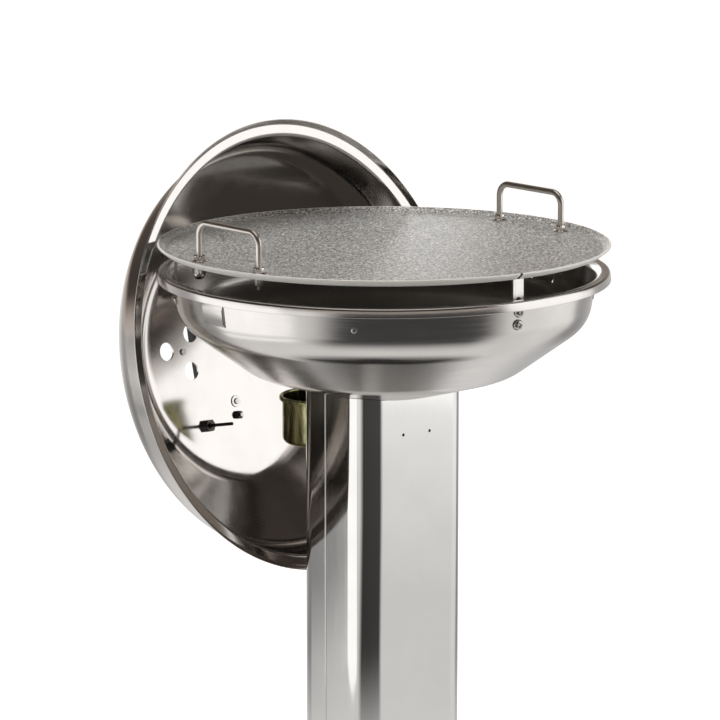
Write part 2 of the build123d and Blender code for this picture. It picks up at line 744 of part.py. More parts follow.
vent_spots = [on_lid(vent_x, vent_up, lid_depth) * Rot(0, 0, i * 360 / vent_count - vent_angle)
              * Pos(vent_circle, 0, 0) for i in range(vent_count)]
for spot in vent_spots:
    lid = lid - spot * Cylinder(vent_hole / 2, through)
lid = lid - on_lid(vent_x, vent_up, lid_depth) * Cylinder(pivot_radius + fit_gap, through)
lid = lid - on_lid(gauge_x, gauge_up, lid_depth) * Cylinder(gauge_neck_radius + fit_gap, through)
hook_rivet_ups = (hook_foot_up + 0.25 * hook_foot, hook_foot_up + 0.75 * hook_foot)
for up in hook_rivet_ups:
    lid = lid - on_lid(0, up, lid_depth) * Cylinder(rivet_radius + fit_gap, through)
for side in (-1, 1):
    lid = lid - on_lid(0, side * handle_bolt_up, lid_depth) * Cylinder(handle_bolt_radius + fit_gap, through)
    lid = lid - on_lid(0, side * handle_rivet_up, lid_depth) * Cylinder(rivet_radius + fit_gap, through)
save("lid_shell", lid_place * lid)


def behind(radius):
    # Distance behind the lid's rim centre, in the lid's own direction, to a radius of the bowl
    b = lid_back * cos(hung_turn) - lid_side * sin(hung_turn)
    return sqrt(b ** 2 - lid_back ** 2 - lid_side ** 2 + radius ** 2) - b


def hung(distance, height):
    # Up and depth in the lid's own frame of a point of the hung lid's middle plane
    rise = height - lid_z
    up = rise * cos(hung_tilt) + distance * sin(hung_tilt)
    return (up, distance * cos(hung_tilt) - rise * sin(hung_tilt))


finger_at = behind(rim_radius - hook_finger_gap)
hook_under = bowl_top_z + seat_gap
foot_depth = lid_inside - seat_gap - hook_thickness
hook_line = [
    hung(finger_at, hook_under - hook_finger),
    hung(finger_at, hook_under),
    hung(finger_at + hook_run, hook_under),
    (hook_foot_up + hook_foot, foot_depth),
    (hook_foot_up, foot_depth),
]
hook_face = make_face(Polyline(*hook_line, *reversed(parallel(hook_line, -hook_thickness)), close=True))
side_frame = Plane(origin=(0, 0, 0), x_dir=(0, -1, 0), z_dir=(-1, 0, 0))
hook = side_frame * extrude(hook_face, hook_width / 2, both=True)
for up in hook_rivet_ups:
    hook = hook - on_lid(0, up, lid_inside) * Cylinder(rivet_radius + fit_gap, 20 * hook_thickness)
save("lid_hook", lid_place * hook)


def rivet(stack):
    # Domed rivet with its outer head above z = 0 and the closing head below the stack
    outer = pan_head(rivet_head_radius, rivet_head, 0.7)
    inner = Pos(0, 0, -stack) * Cylinder(
        0.8 * rivet_head_radius, rivet_head, align=(Align.CENTER, Align.CENTER, Align.MAX))
    inner = fillet(inner.edges().sort_by(Axis.Z)[0], 0.5 * rivet_head)
    shank = Pos(0, 0, -stack - rivet_head / 2) * stub(rivet_radius, stack + rivet_head)
    return outer + inner + shank


hook_stack = sheet + seat_gap + hook_thickness + 2 * fit_gap
save("lid_hook_rivets", group(
    lid_place * on_lid(0, up, lid_depth + fit_gap) * rivet(hook_stack) for up in hook_rivet_ups))

# Lid handle: a grip between two folded brackets, each with a bolt and a rivet through the lid
bracket_z = lid_depth + fit_gap
bracket_top_z = bracket_z + bracket_thickness
grip_z = bracket_z + grip_rise
bracket_line = [
    (bracket_end_up, bracket_z),
    (bracket_post_up, bracket_z),
    (bracket_post_up, grip_z + grip_radius),
]
bracket = extrude(sheet_face(bracket_line, [bracket_bend], -bracket_thickness), bracket_width / 2, both=True)
bracket = side_frame * bracket
bracket = bracket - on_lid(0, handle_bolt_up, bracket_z) * Cylinder(
    handle_bolt_radius + fit_gap, 8 * bracket_thickness)
bracket = bracket - on_lid(0, handle_rivet_up, bracket_z) * Cylinder(
    rivet_radius + fit_gap, 8 * bracket_thickness)
bracket = bracket - on_lid(0, bracket_post_up, grip_z) * Rot(90, 0, 0) * Cylinder(
    grip_screw_radius + fit_gap, 8 * bracket_thickness)
both_ends = (Rot(0, 0, 0), Rot(0, 0, 180))
save("lid_handle_brackets", group(lid_place * end * bracket for end in both_ends))

grip_half = bracket_post_up - fit_gap
lid_grip = Cylinder(grip_radius, 2 * grip_half)
lid_grip = fillet(lid_grip.edges().filter_by(GeomType.CIRCLE), grip_round)
for end in (-1, 1):
    lid_grip = lid_grip - Pos(0, 0, end * grip_half) * Cylinder(
        grip_screw_radius + fit_gap, 2 * (grip_screw_depth + fit_gap))
save("lid_grip", lid_place * Pos(0, 0, grip_z) * Rot(90, 0, 0) * lid_grip)
grip_screw = pan_head(2 * grip_screw_radius, 1.2 * grip_screw_radius, 0.6)
grip_screw_length = bracket_thickness + 2 * fit_gap + grip_screw_depth
grip_screw = grip_screw + Pos(0, 0, -grip_screw_length) * stub(
    grip_screw_radius, grip_screw_length + grip_screw_radius / 2)
grip_screw = on_lid(0, bracket_post_up + bracket_thickness + fit_gap, grip_z) * Rot(90, 0, 0) * grip_screw
save("lid_grip_screws", group(lid_place * end * grip_screw for end in both_ends))

handle_stack = bracket_thickness + fit_gap + sheet
bolt_length = handle_stack + handle_nut_height + bolt_end + 2 * fit_gap
handle_bolt = extrude(RegularPolygon(handle_nut_flats / 2, 6, major_radius=False), 1.3 * handle_bolt_radius)
handle_bolt = handle_bolt + Pos(0, 0, -bolt_length) * stub(
    handle_bolt_radius, bolt_length + handle_bolt_radius)
handle_bolt = on_lid(0, handle_bolt_up, bracket_top_z + fit_gap) * handle_bolt
save("lid_handle_bolts", group(lid_place * end * handle_bolt for end in both_ends))
handle_nut = hex_nut(handle_nut_flats, handle_nut_height, handle_bolt_radius + fit_gap)
handle_nut = on_lid(0, handle_bolt_up, lid_inside - fit_gap - handle_nut_height) * handle_nut
save("lid_handle_nuts", group(lid_place * end * handle_nut for end in both_ends))
washer = tube(washer_radius, rivet_radius + fit_gap, washer_thickness)
washer = on_lid(0, handle_rivet_up, lid_inside - fit_gap - washer_thickness) * washer
save("lid_handle_washers", group(lid_place * end * washer for end in both_ends))
rivet_stack = handle_stack + washer_thickness + 3 * fit_gap
handle_rivet = on_lid(0, handle_rivet_up, bracket_top_z + fit_gap) * rivet(rivet_stack)
save("lid_handle_rivets", group(lid_place * end * handle_rivet for end in both_ends))

# Vent damper turning on a rivet outside the lid
damper_z = lid_depth + seat_gap
damper = Circle(damper_radius) - Circle(pivot_radius + fit_gap / 2)
for i in range(vent_count):
    damper = damper - Rot(0, 0, i * 360 / vent_count) * Pos(vent_circle, 0) * Circle(vent_hole / 2)
damper = extrude(damper, damper_thickness)
tab_turn = 180 / vent_count
tab_mid = damper_radius - damper_thickness
damper = damper + Rot(0, 0, tab_turn) * Pos(tab_mid, 0, damper_tab_rise / 2) * Box(
    damper_thickness, damper_tab, damper_tab_rise)
damper_place = on_lid(vent_x, vent_up, damper_z) * Rot(0, 0, -vent_angle)
save("vent_damper", lid_place * damper_place * damper)
pivot_top = damper_z + damper_thickness + seat_gap
pivot_bottom = lid_inside - fit_gap
pivot_shank = Pos(0, 0, pivot_bottom - pivot_head / 2) * stub(
    pivot_radius, pivot_top - pivot_bottom + pivot_head)
upper_head = Pos(0, 0, pivot_top) * pan_head(pivot_head_radius, pivot_head, 0.6)
lower_head = Pos(0, 0, pivot_bottom) * Cylinder(
    0.7 * pivot_head_radius, pivot_head, align=(Align.CENTER, Align.CENTER, Align.MAX))
save("vent_pivot", lid_place * on_lid(vent_x, vent_up, 0) * (pivot_shank + upper_head + lower_head))

# Lid thermometer
gauge_spot = lid_place * on_lid(gauge_x, gauge_up, 0)
case_z = lid_depth + fit_gap
pocket_radius = gauge_radius - gauge_wall
case = Pos(0, 0, case_z) * stub(gauge_radius, gauge_height)
case = fillet(case.edges().sort_by(Axis.Z)[0], gauge_floor / 2)
case = case - Pos(0, 0, case_z + gauge_floor) * stub(pocket_radius, gauge_height)
neck_length = sheet + gauge_nut_height + bolt_end
case = case + Pos(0, 0, case_z - neck_length) * stub(gauge_neck_radius, neck_length + gauge_floor / 2)
stem_end = lid_inside - stem_length
stem = Pos(0, 0, stem_end) * stub(stem_radius, lid_inside - stem_end)
case = case + fillet(stem.edges().sort_by(Axis.Z)[0], 0.8 * stem_radius)
dial_z = case_z + gauge_floor + fit_gap
arbor_top = dial_z + dial_thickness + arbor_height
case = case + Pos(0, 0, case_z + gauge_floor / 2) * stub(arbor_radius, arbor_top - case_z - gauge_floor / 2)
save("thermometer_case", gauge_spot * case)
save("thermometer_nut", gauge_spot * Pos(0, 0, lid_inside - fit_gap - gauge_nut_height) * hex_nut(
    gauge_nut_flats, gauge_nut_height, gauge_neck_radius + fit_gap))
dial = tube(pocket_radius - fit_gap, arbor_radius + fit_gap, dial_thickness)
save("thermometer_dial", gauge_spot * Pos(0, 0, dial_z) * dial)
needle_z = dial_z + dial_thickness + seat_gap
pointer = Pos((needle_length - needle_tail) / 2, 0, hub_height / 2) * Box(
    needle_length + needle_tail, needle_width, needle_thickness)
needle = pointer + stub(hub_radius, hub_height)
needle = needle - Cylinder(arbor_radius + fit_gap / 2, 4 * hub_height)
save("thermometer_needle", gauge_spot * Pos(0, 0, needle_z) * Rot(0, 0, needle_cold) * needle)
case_top = case_z + gauge_height
glass_z = case_top - glass_inset - glass_thickness
save("thermometer_glass", gauge_spot * Pos(0, 0, glass_z) * stub(pocket_radius - fit_gap, glass_thickness))
bezel = tube(gauge_radius + bezel_over, pocket_radius - bezel_lap, bezel_height)
bezel = bezel + Pos(0, 0, -glass_inset + fit_gap) * tube(
    pocket_radius - fit_gap, pocket_radius - bezel_lap, glass_inset)
save("thermometer_bezel", gauge_spot * Pos(0, 0, case_top + fit_gap) * bezel)
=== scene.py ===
from math import atan, atan2, ceil, cos, degrees, pi, radians, sin, tan

import bmesh
import bpy
from mathutils import Matrix, Vector


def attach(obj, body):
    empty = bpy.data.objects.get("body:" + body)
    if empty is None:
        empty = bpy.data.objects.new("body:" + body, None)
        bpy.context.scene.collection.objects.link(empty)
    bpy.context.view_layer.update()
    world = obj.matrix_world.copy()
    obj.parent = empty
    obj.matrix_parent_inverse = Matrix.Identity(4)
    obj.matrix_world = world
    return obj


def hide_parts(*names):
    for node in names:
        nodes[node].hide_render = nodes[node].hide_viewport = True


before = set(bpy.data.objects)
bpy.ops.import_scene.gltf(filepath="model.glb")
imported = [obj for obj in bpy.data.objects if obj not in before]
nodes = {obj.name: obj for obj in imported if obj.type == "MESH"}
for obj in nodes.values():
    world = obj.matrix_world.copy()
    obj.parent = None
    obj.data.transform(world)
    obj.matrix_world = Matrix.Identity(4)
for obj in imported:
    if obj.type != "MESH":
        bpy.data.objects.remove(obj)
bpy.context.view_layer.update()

mm = 0.001  # sizes below are in millimetres, apart from those of the stage
tiny = 1e-6
near = 1e-3  # heights and places closer than this are the same
sharpAngle = 32  # edges that turn more than this stay sharp
scene = bpy.context.scene


# sRGB hex to linear
def linear(hexText):
    parts = [int(hexText[i:i + 2], 16) / 255 for i in (1, 3, 5)]
    return tuple(c / 12.92 if c <= 0.04045 else ((c + 0.055) / 1.055) ** 2.4 for c in parts) + (1.0,)


# one node with its settings, values and links; a shader node goes by the rest of its name, and a node as a
# value is linked from its first live output
def addNode(tree, kind, inputs=None, **settings):
    node = tree.nodes.new("ShaderNode" + kind if tree.type == "SHADER" else kind)
    for name, value in settings.items():
        setattr(node, name, value)
    for key, value in (inputs or {}).items():
        if isinstance(value, bpy.types.Node):
            value = next(socket for socket in value.outputs if socket.enabled)
        if isinstance(value, bpy.types.NodeSocket):
            tree.links.new(value, node.inputs[key])
        else:
            node.inputs[key].default_value = value
    return node


# steps of a ramp: positions, each with a hex colour or a grey value
def fillRamp(ramp, steps):
    marks = ramp.color_ramp.elements
    for i, (position, colour) in enumerate(steps):
        mark = marks[0] if i == 0 else marks[-1] if i == len(steps) - 1 else marks.new(position)
        mark.position = position
        mark.color = linear(colour) if isinstance(colour, str) else (colour, colour, colour, 1)
    return ramp


def bareMaterial(name):
    material = bpy.data.materials.new(name)
    material.use_nodes = True
    material.node_tree.nodes.clear()
    return material, material.node_tree


def newMaterial(name):
    material, tree = bareMaterial(name)
    return material, tree, addNode(tree, "TexCoord").outputs["Object"]


def closeMaterial(material, inputs):
    shader = addNode(material.node_tree, "BsdfPrincipled", inputs)
    addNode(material.node_tree, "OutputMaterial", {"Surface": shader})
    return material


# widths of the patterns that are the same on every piece
patternSizes = {
    "cloud": 45, "fleck": 2.6, "patch": 160, "streak": 16, "zincGrain": 2.0, "mottle": 3.5, "haze": 9,
}


# Bright rolled stainless sheet: neutral grey metal, soft mirror, slight waviness and rolling lines; the real
# lines are a fraction of a millimetre apart, and are drawn 1.8 mm or more apart so that they show
def brightStainless(name, tone, shade, roughLow, roughHigh, wavePitch=70, waveDepth=0.05,
        lineScale=(0.02, 0.02, 1.0), linePitch=1.8):
    material, tree, spot = newMaterial(name)
    cloud = addNode(tree, "TexNoise",
            {"Vector": spot, "Scale": 1000 / patternSizes["cloud"], "Detail": 3.0})
    tint = addNode(tree, "Mix", {"Factor": cloud, "A": linear(tone), "B": linear(shade)},
            data_type="RGBA")
    drawn = addNode(tree, "Mapping", {"Vector": spot, "Scale": lineScale})
    grain = addNode(tree, "TexNoise", {"Vector": drawn, "Scale": 1000 / linePitch, "Detail": 2.0})
    blur = addNode(tree, "MapRange",
            {"Value": grain, "From Min": 0.3, "From Max": 0.7, "To Min": roughLow, "To Max": roughHigh})
    wave = addNode(tree, "TexNoise", {"Vector": spot, "Scale": 1000 / wavePitch, "Detail": 1.0})
    relief = addNode(tree, "Bump", {"Height": wave, "Strength": 1.0, "Distance": waveDepth * mm})
    return closeMaterial(material, {"Metallic": 1.0, "Base Color": tint, "Roughness": blur, "Normal": relief})


# Speckled griddle enamel: matt grey with pale and dark flecks; the real ones are about a millimetre wide, and
# are drawn wider so that they show
def speckledEnamel():
    material, tree, spot = newMaterial("SpeckledGriddleEnamel")
    fleck = addNode(tree, "TexNoise",
            {"Vector": spot, "Scale": 1000 / patternSizes["fleck"], "Detail": 2.0, "Roughness": 0.75})
    ramp = fillRamp(addNode(tree, "ValToRGB", {"Fac": fleck}),
            [(0.36, "#454543"), (0.5, "#7E7E7C"), (0.66, "#CFCFCB")])
    patch = addNode(tree, "TexNoise",
            {"Vector": spot, "Scale": 1000 / patternSizes["patch"], "Detail": 2.0})
    tone = addNode(tree, "Mix", {"Factor": 0.2, "A": ramp, "B": patch}, data_type="RGBA",
            blend_type="OVERLAY")
    relief = addNode(tree, "Bump", {"Height": fleck, "Strength": 0.5, "Distance": 0.25 * mm})
    return closeMaterial(material, {"Roughness": 0.36, "Specular IOR Level": 0.75, "Base Color": tone,
            "Normal": relief})


# Yellow passivated zinc: olive and brass metal with streaks of green, brown and violet down the wall
def yellowZinc():
    material, tree, spot = newMaterial("YellowPassivatedZinc")
    drawn = addNode(tree, "Mapping", {"Vector": spot, "Scale": (1.0, 1.0, 0.22)})
    streak = addNode(tree, "TexNoise",
            {"Vector": drawn, "Scale": 1000 / patternSizes["streak"], "Detail": 2.0, "Distortion": 0.5})
    ramp = fillRamp(addNode(tree, "ValToRGB", {"Fac": streak}),
            [(0.28, "#7E7074"), (0.4, "#8C8E62"), (0.5, "#C8C192"), (0.6, "#929C68"), (0.74, "#AC8058")])
    grain = addNode(tree, "TexNoise",
            {"Vector": spot, "Scale": 1000 / patternSizes["zincGrain"], "Detail": 2.0})
    blur = addNode(tree, "MapRange", {"Value": grain, "To Min": 0.14, "To Max": 0.3})
    return closeMaterial(material, {"Metallic": 1.0, "Base Color": ramp, "Roughness": blur})


# Small turned or rolled steel parts: mottled grey metal with soft edges
def fastenerSteel(name, tone, shade, roughness, metal=1.0):
    material, tree, spot = newMaterial(name)
    mottle = addNode(tree, "TexNoise",
            {"Vector": spot, "Scale": 1000 / patternSizes["mottle"], "Detail": 3.0})
    tint = addNode(tree, "Mix", {"Factor": mottle, "A": linear(tone), "B": linear(shade)},
            data_type="RGBA")
    return closeMaterial(material, {"Metallic": metal, "Roughness": roughness, "Base Color": tint})


# Powder coat, moulded plastic and rubber: pebbled skin of the given grain
def pebbledSkin(name, tone, shade, roughness, grainPitch, depth):
    material, tree, spot = newMaterial(name)
    pebble = addNode(tree, "TexNoise", {"Vector": spot, "Scale": 1000 / grainPitch, "Detail": 2.0})
    tint = addNode(tree, "Mix", {"Factor": pebble, "A": linear(tone), "B": linear(shade)},
            data_type="RGBA")
    relief = addNode(tree, "Bump", {"Height": pebble, "Strength": 0.6, "Distance": depth * mm})
    return closeMaterial(material, {"Roughness": roughness, "Base Color": tint, "Normal": relief})


# Heat marked steel: brown grey with sooty and ashen patches
def heatedSteel(name, dark, pale, metal, roughness, patchPitch):
    material, tree, spot = newMaterial(name)
    patch = addNode(tree, "TexNoise",
            {"Vector": spot, "Scale": 1000 / patchPitch, "Detail": 5.0, "Roughness": 0.65})
    ramp = fillRamp(addNode(tree, "ValToRGB", {"Fac": patch}), [(0.32, dark), (0.72, pale)])
    relief = addNode(tree, "Bump", {"Height": patch, "Strength": 0.4, "Distance": 0.2 * mm})
    return closeMaterial(material, {"Metallic": metal, "Roughness": roughness, "Base Color": ramp,
            "Normal": relief})


# Clear flat glass of the thermometer, with a faint haze
def clearGlass():
    material, tree, spot = newMaterial("ClearFlatGlass")
    haze = addNode(tree, "TexNoise",
            {"Vector": spot, "Scale": 1000 / patternSizes["haze"], "Detail": 2.0})
    blur = addNode(tree, "MapRange", {"Value": haze, "To Min": 0.0, "To Max": 0.05})
    return closeMaterial(material, {"Transmission Weight": 1.0, "IOR": 1.5, "Alpha": 0.3,
            "Base Color": linear("#F4F7F6"), "Roughness": blur})


upright = (1.0, 1.0, 0.02)  # rolling lines that run up the sheet
allWays = (1.0, 1.0, 1.0)  # no lines, an even cloud instead
finish = {
    "bowl": brightStainless("SpunStainlessBowl", "#D9D5D1", "#CBC7C3", 0.17, 0.24),
    "lid": brightStainless("SpunStainlessLid", "#DAD6D2", "#CFCBC7", 0.11, 0.15, 90, 0.04, allWays, 25),
    "column": brightStainless("FoldedStainlessColumn", "#D8D6D3", "#CFCDCA", 0.06, 0.09, 140, 0.02, upright),
    "strip": brightStainless("PlainStainlessStrip", "#DEDCD8", "#CFCCC8", 0.24, 0.34, 20, 0.02, upright),
    "rod": brightStainless("DrawnStainlessRod", "#DDD7D0", "#CFC9C2", 0.29, 0.34, 30, 0.01, allWays, 14),
    "polish": brightStainless("PolishedCapNut", "#D8D2CB", "#C6C0B9", 0.05, 0.1, 12, 0.01, allWays),
    "edge": fastenerSteel("BareGriddleEdge", "#EFEFEB", "#E1E1DC", 0.5, 0.3),
    "enamel": speckledEnamel(),
    "zinc": yellowZinc(),
    "fastener": fastenerSteel("PlainFastenerSteel", "#CFCCC7", "#A5A19C", 0.2),
    # black oxide steel; the plate's slot walls wear it too, as painted shade
    "dark": fastenerSteel("BlackOxideSteelAndPaintedSlotShade", "#5A5754", "#3C3937", 0.3, 0.9),
    "inner": fastenerSteel("GalvanisedSteel", "#B9BABA", "#8E9091", 0.42),
    "burnt": heatedSteel("HeatDarkenedSteel", "#23201E", "#5C5048", 0.6, 0.62, 22),
    "base": pebbledSkin("DarkPowderCoat", "#2B2B2C", "#222223", 0.5, 1.2, 0.08),
    "rubber": pebbledSkin("BlackRubber", "#1B1B1B", "#141414", 0.75, 2.0, 0.1),
    "grip": pebbledSkin("BlackGripPlastic", "#1E1E1E", "#181818", 0.45, 1.5, 0.06),
    "dial": pebbledSkin("WhiteDialPaint", "#EDEDE9", "#E6E6E2", 0.5, 3.0, 0.01),
    "mark": pebbledSkin("BlackDialPrint", "#1C1C1C", "#262626", 0.6, 1.0, 0.01),
    "needle": pebbledSkin("RedPointerPaint", "#A8261C", "#9A2018", 0.45, 3.0, 0.01),
    "glass": clearGlass(),
}
print("materials ready:", len(finish))


# points along a line whose inner corners are rounded, with guard points on the straights beside each bend
def roundedLine(points, radii, stepAngle=5, guard=0.0):
    line = [Vector(p) for p in points]
    out = [line[0]]
    for before, here, after, radius in zip(line, line[1:], line[2:], radii):
        a = (before - here).normalized()
        b = (after - here).normalized()
        half = a.angle(b) / 2
        reach = radius / tan(half)
        centre = here + (a + b).normalized() * (radius / sin(half))
        start = here + a * reach - centre
        side = here + b * reach - centre
        sweep = pi - 2 * half
        count = max(2, ceil(degrees(sweep) / stepAngle))
        if guard and (out[-1] - (here + a * reach)).length > 2 * guard:
            out.append(here + a * (reach + guard))
        for k in range(count + 1):
            t = sweep * k / count
            out.append(centre + (start * sin(sweep - t) + side * sin(t)) / sin(sweep))
        if guard and (after - here).length > reach + 2 * guard:
            out.append(here + b * (reach + guard))
    out.append(line[-1])
    return out


# extra points where a line of (r, z) passes given heights
def withHeights(line, heights):
    out = [line[0]]
    for a, b in zip(line, line[1:]):
        inside = [h for h in heights if min(a[1], b[1]) + tiny < h < max(a[1], b[1]) - tiny]
        for h in sorted(inside, reverse=a[1] > b[1]):
            out.append(a.lerp(b, (h - a[1]) / (b[1] - a[1])))
        out.append(b)
    return out


# copy of a dense line moved to its left
def moved(line, distance):
    out = []
    for i, here in enumerate(line):
        ahead = line[min(i + 1, len(line) - 1)] - line[max(i - 1, 0)]
        out.append(here + Vector((-ahead[1], ahead[0])).normalized() * distance)
    return out


# rounded cut edge from one side of a sheet to the other
def roundedEdge(a, b, outward, count=6):
    centre, half = (a + b) / 2, (a - b) / 2
    bulge = outward.normalized() * half.length
    return [centre + half * cos(pi * k / count) + bulge * sin(pi * k / count) for k in range(1, count)]


# mesh object in the row frame, smooth apart from its sharp edges
def makeObject(name, bm, materials, place=None, sharp=sharpAngle, recalc=True):
    if recalc:
        bmesh.ops.remove_doubles(bm, verts=bm.verts, dist=1e-4)
        bmesh.ops.recalc_face_normals(bm, faces=bm.faces)
    matrix = Matrix.Scale(mm, 4)
    if place is not None:
        matrix = matrix @ place
    bmesh.ops.transform(bm, matrix=matrix, verts=bm.verts)
    mesh = bpy.data.meshes.new(name)
    bm.to_mesh(mesh)
    bm.free()
    mesh.polygons.foreach_set("use_smooth", [True] * len(mesh.polygons))
    mesh.set_sharp_from_angle(angle=radians(sharp))
    for material in materials if isinstance(materials, list) else [materials]:
        mesh.materials.append(material)
    return linkMesh(name, mesh)


def linkMesh(name, mesh):
    item = bpy.data.objects.new(name, mesh)
    scene.collection.objects.link(item)
    return item


# adds a shape to another one
def joinShape(bm, part):
    mesh = bpy.data.meshes.new("part")
    part.to_mesh(mesh)
    part.free()
    bm.from_mesh(mesh)
    bpy.data.meshes.remove(mesh)


def settle(item, body, slotName, *replaced):
    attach(item, body)
    if replaced:
        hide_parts(*replaced)
    return item


# rings of a spun profile; a third value of true in a point makes that ring hexagonal
def spinRings(bm, profile, angles, shift=None):
    rings = []
    for point in profile:
        r, z = point[0], point[1]
        if r < tiny:
            rings.append([bm.verts.new((0, 0, z))] * len(angles))
            continue
        ring = []
        for angle in angles:
            out = r + (shift(angle, r, z) if shift else 0)
            if len(point) > 2 and point[2]:
                out = r / cos(radians((angle + 30) % 60 - 30))
            turn = radians(angle)
            ring.append(bm.verts.new((out * sin(turn), -out * cos(turn), z)))
        rings.append(ring)
    return rings


def spinFaces(bm, rings, skipped=(), second=()):
    count = len(rings[0])
    for i, (low, high) in enumerate(zip(rings, rings[1:])):
        for j in range(count):
            if (i, j) in skipped:
                continue
            k = (j + 1) % count
            unique = list(dict.fromkeys([low[j], low[k], high[k], high[j]]))
            if len(unique) > 2:
                face = bm.faces.new(unique)
                face.material_index = 1 if i in second else 0


def evenAngles(segments, first=0):
    return [i * 360 / segments + first for i in range(segments)]


# spun solid about its own z axis; a closed profile makes a ring
def spunMesh(profile, segments=48, closed=False):
    bm = bmesh.new()
    rings = spinRings(bm, profile, evenAngles(segments))
    if closed:
        rings.append(rings[0])
    spinFaces(bm, rings)
    return bm


# Bowl with a flat rolled lip and a lanced strap at each side
bowlSizes = {
    "line": [(286.8, 848.6), (285.5, 859.7), (267.8, 860.0), (258.8, 796.5), (170.4, 732.0), (74.7, 705.2),
        (0, 705.2)],
    "rounds": [4, 12, 48, 60, 20], "sheet": 1.2, "segments": 240,
    "strapAngles": (-90, 90), "strapRadius": 264.0, "strapWidth": 40, "strapSlit": 2.5,
    "strapLow": 816.5, "strapHigh": 842.5, "strapSlope": 5, "strapRise": 1.6,
    "clearAngle": 0.25,  # no other segment ends this near a slit
}


def bowlLines():
    s = bowlSizes
    low, high, slope = s["strapLow"], s["strapHigh"], s["strapSlope"]
    inside = withHeights(roundedLine(s["line"], s["rounds"], 4, 1.0), [low, low + slope, high - slope, high])
    outside = moved(inside, s["sheet"])
    outside[-1] = Vector((0, outside[-1][1]))
    return inside, outside


def makeBowl():
    s = bowlSizes
    low, high = s["strapLow"], s["strapHigh"]
    inside, outside = bowlLines()
    lipEdge = roundedEdge(inside[0], outside[0], Vector((0, -1)))
    profile = list(reversed(inside)) + lipEdge + outside
    half = degrees(s["strapWidth"] / 2 / s["strapRadius"])
    slit = degrees(s["strapSlit"] / s["strapRadius"])
    edges = [c + e for c in s["strapAngles"] for e in (-half - slit, -half, half, half + slit)]
    angles = [a for a in evenAngles(s["segments"], -180) if all(abs(a - e) > s["clearAngle"] for e in edges)]
    angles = sorted(angles + edges)

    def strapShift(angle, r, z):  # flat strap, pushed outwards between two slopes
        aside = min((angle - c for c in s["strapAngles"]), key=abs)
        if not low < z < high or abs(aside) > half + near:
            return 0
        run = min(z - low, high - z)
        return ((r + s["strapRise"]) / cos(radians(aside)) - r) * min(1, run / s["strapSlope"])

    bm = bmesh.new()
    rings = spinRings(bm, profile, angles, strapShift)
    count = len(inside)
    rows = [i for i, (a, b) in enumerate(zip(inside, inside[1:]))
            if low - near <= min(a[1], b[1]) and max(a[1], b[1]) <= high + near]
    first, last = min(rows), max(rows) + 1
    far = count + len(lipEdge)
    slits = [j for j in range(len(angles))
            if any(abs((angles[j] + angles[(j + 1) % len(angles)]) / 2 - c - e) < slit / 4
            for c in s["strapAngles"] for e in (-half - slit / 2, half + slit / 2))]
    skipped = set()
    for j in slits:
        k = j + 1
        for i in rows:
            skipped.update([(count - 2 - i, j), (far + i, j)])
        for column in (j, k):
            bm.faces.new([rings[count - 1 - i][column] for i in range(first, last + 1)]
                    + [rings[far + i][column] for i in range(last, first - 1, -1)])
        for i in (first, last):
            inner, outer = rings[count - 1 - i], rings[far + i]
            bm.faces.new([inner[j], inner[k], outer[k], outer[j]])
    spinFaces(bm, rings, skipped)
    return makeObject("BowlShell", bm, finish["bowl"])


settle(makeBowl(), "stand", "stainless_sheet", "bowl")
print("bowl made")

# Griddle plate with a bare rim and a drain slot; the slot's walls are painted dark as shade
plateSizes = {
    "line": [(284.0, 894.0), (276.5, 888.2), (0, 888.2)], "rounds": [6], "sheet": 3.0,
    "segments": 240, "faceRings": (240, 160, 80), "turn": 2.5,
    "slotAngle": -5.0, "slotWidth": 3.6, "slotStart": 274.0,
    "clearAngle": 0.3,  # no other segment ends this near the slot
}
griddlePlace = Matrix.Rotation(radians(plateSizes["turn"]), 4, "Z")


def makePlate():
    s = plateSizes
    rimRadius, face = s["line"][0][0], s["line"][-1][1]
    top = roundedLine(s["line"], s["rounds"], 5, 0.5)
    top[-1:-1] = [Vector((r, face)) for r in (s["slotStart"],) + s["faceRings"]]
    under = moved(top, s["sheet"])
    under[-1] = Vector((0, under[-1][1]))
    edge = roundedEdge(top[0], under[0], Vector((1, 0.6)))
    profile = list(reversed(top)) + edge + under
    halfSlot = degrees(s["slotWidth"] / 2 / rimRadius)
    slot = [(s["slotAngle"] + e) % 360 for e in (-halfSlot, halfSlot)]
    angles = [a for a in evenAngles(s["segments"]) if all(abs(a - e) > s["clearAngle"] for e in slot)]
    angles = sorted(angles + slot)
    bm = bmesh.new()
    rings = spinRings(bm, profile, angles)
    j = angles.index(slot[0])
    k = (j + 1) % len(angles)
    inside = [i for i, p in enumerate(profile) if p[0] >= s["slotStart"] - near]
    first, last = inside[0], inside[-1]
    spinFaces(bm, rings, {(i, j) for i in range(first, last)}, set(range(len(top) - 1, len(profile))))
    walls = [bm.faces.new([rings[i][column] for i in range(first, last + 1)]) for column in (j, k)]
    walls.append(bm.faces.new([rings[first][j], rings[first][k], rings[last][k], rings[last][j]]))
    # the slot's walls take the black oxide finish as painted shade in the narrow slot
    for wall in walls:
        wall.material_index = 2
    return makeObject("GriddlePlate", bm, [finish["enamel"], finish["edge"], finish["dark"]], griddlePlace)


settle(makePlate(), "griddle", "griddle_steel", "griddle_plate")
print("griddle plate made")

# Griddle handles: bent rods with threaded ends
handleSizes = {
    "offset": 249.0, "half": 59.0, "foot": 888.3, "bar": 937.5, "bend": 16.0, "radius": 4.0,
    "thread": 2.5, "threadTip": 1.9, "threadIn": 2, "pitch": 0.8, "ridge": 0.22,
    "frontEnd": 868.2, "rearEnd": 873.2,
}


# round rod along a flat line of points
def sweepRod(bm, points, radius, side, segments=24):
    rings = []
    for i, here in enumerate(points):
        ahead = (points[min(i + 1, len(points) - 1)] - points[max(i - 1, 0)]).normalized()
        other = ahead.cross(side).normalized()
        rings.append([bm.verts.new(here + (side * cos(t) + other * sin(t)) * radius)
                for t in (2 * pi * k / segments for k in range(segments))])
    spinFaces(bm, rings)
    for ring in (rings[0], rings[-1]):
        bm.faces.new(ring)


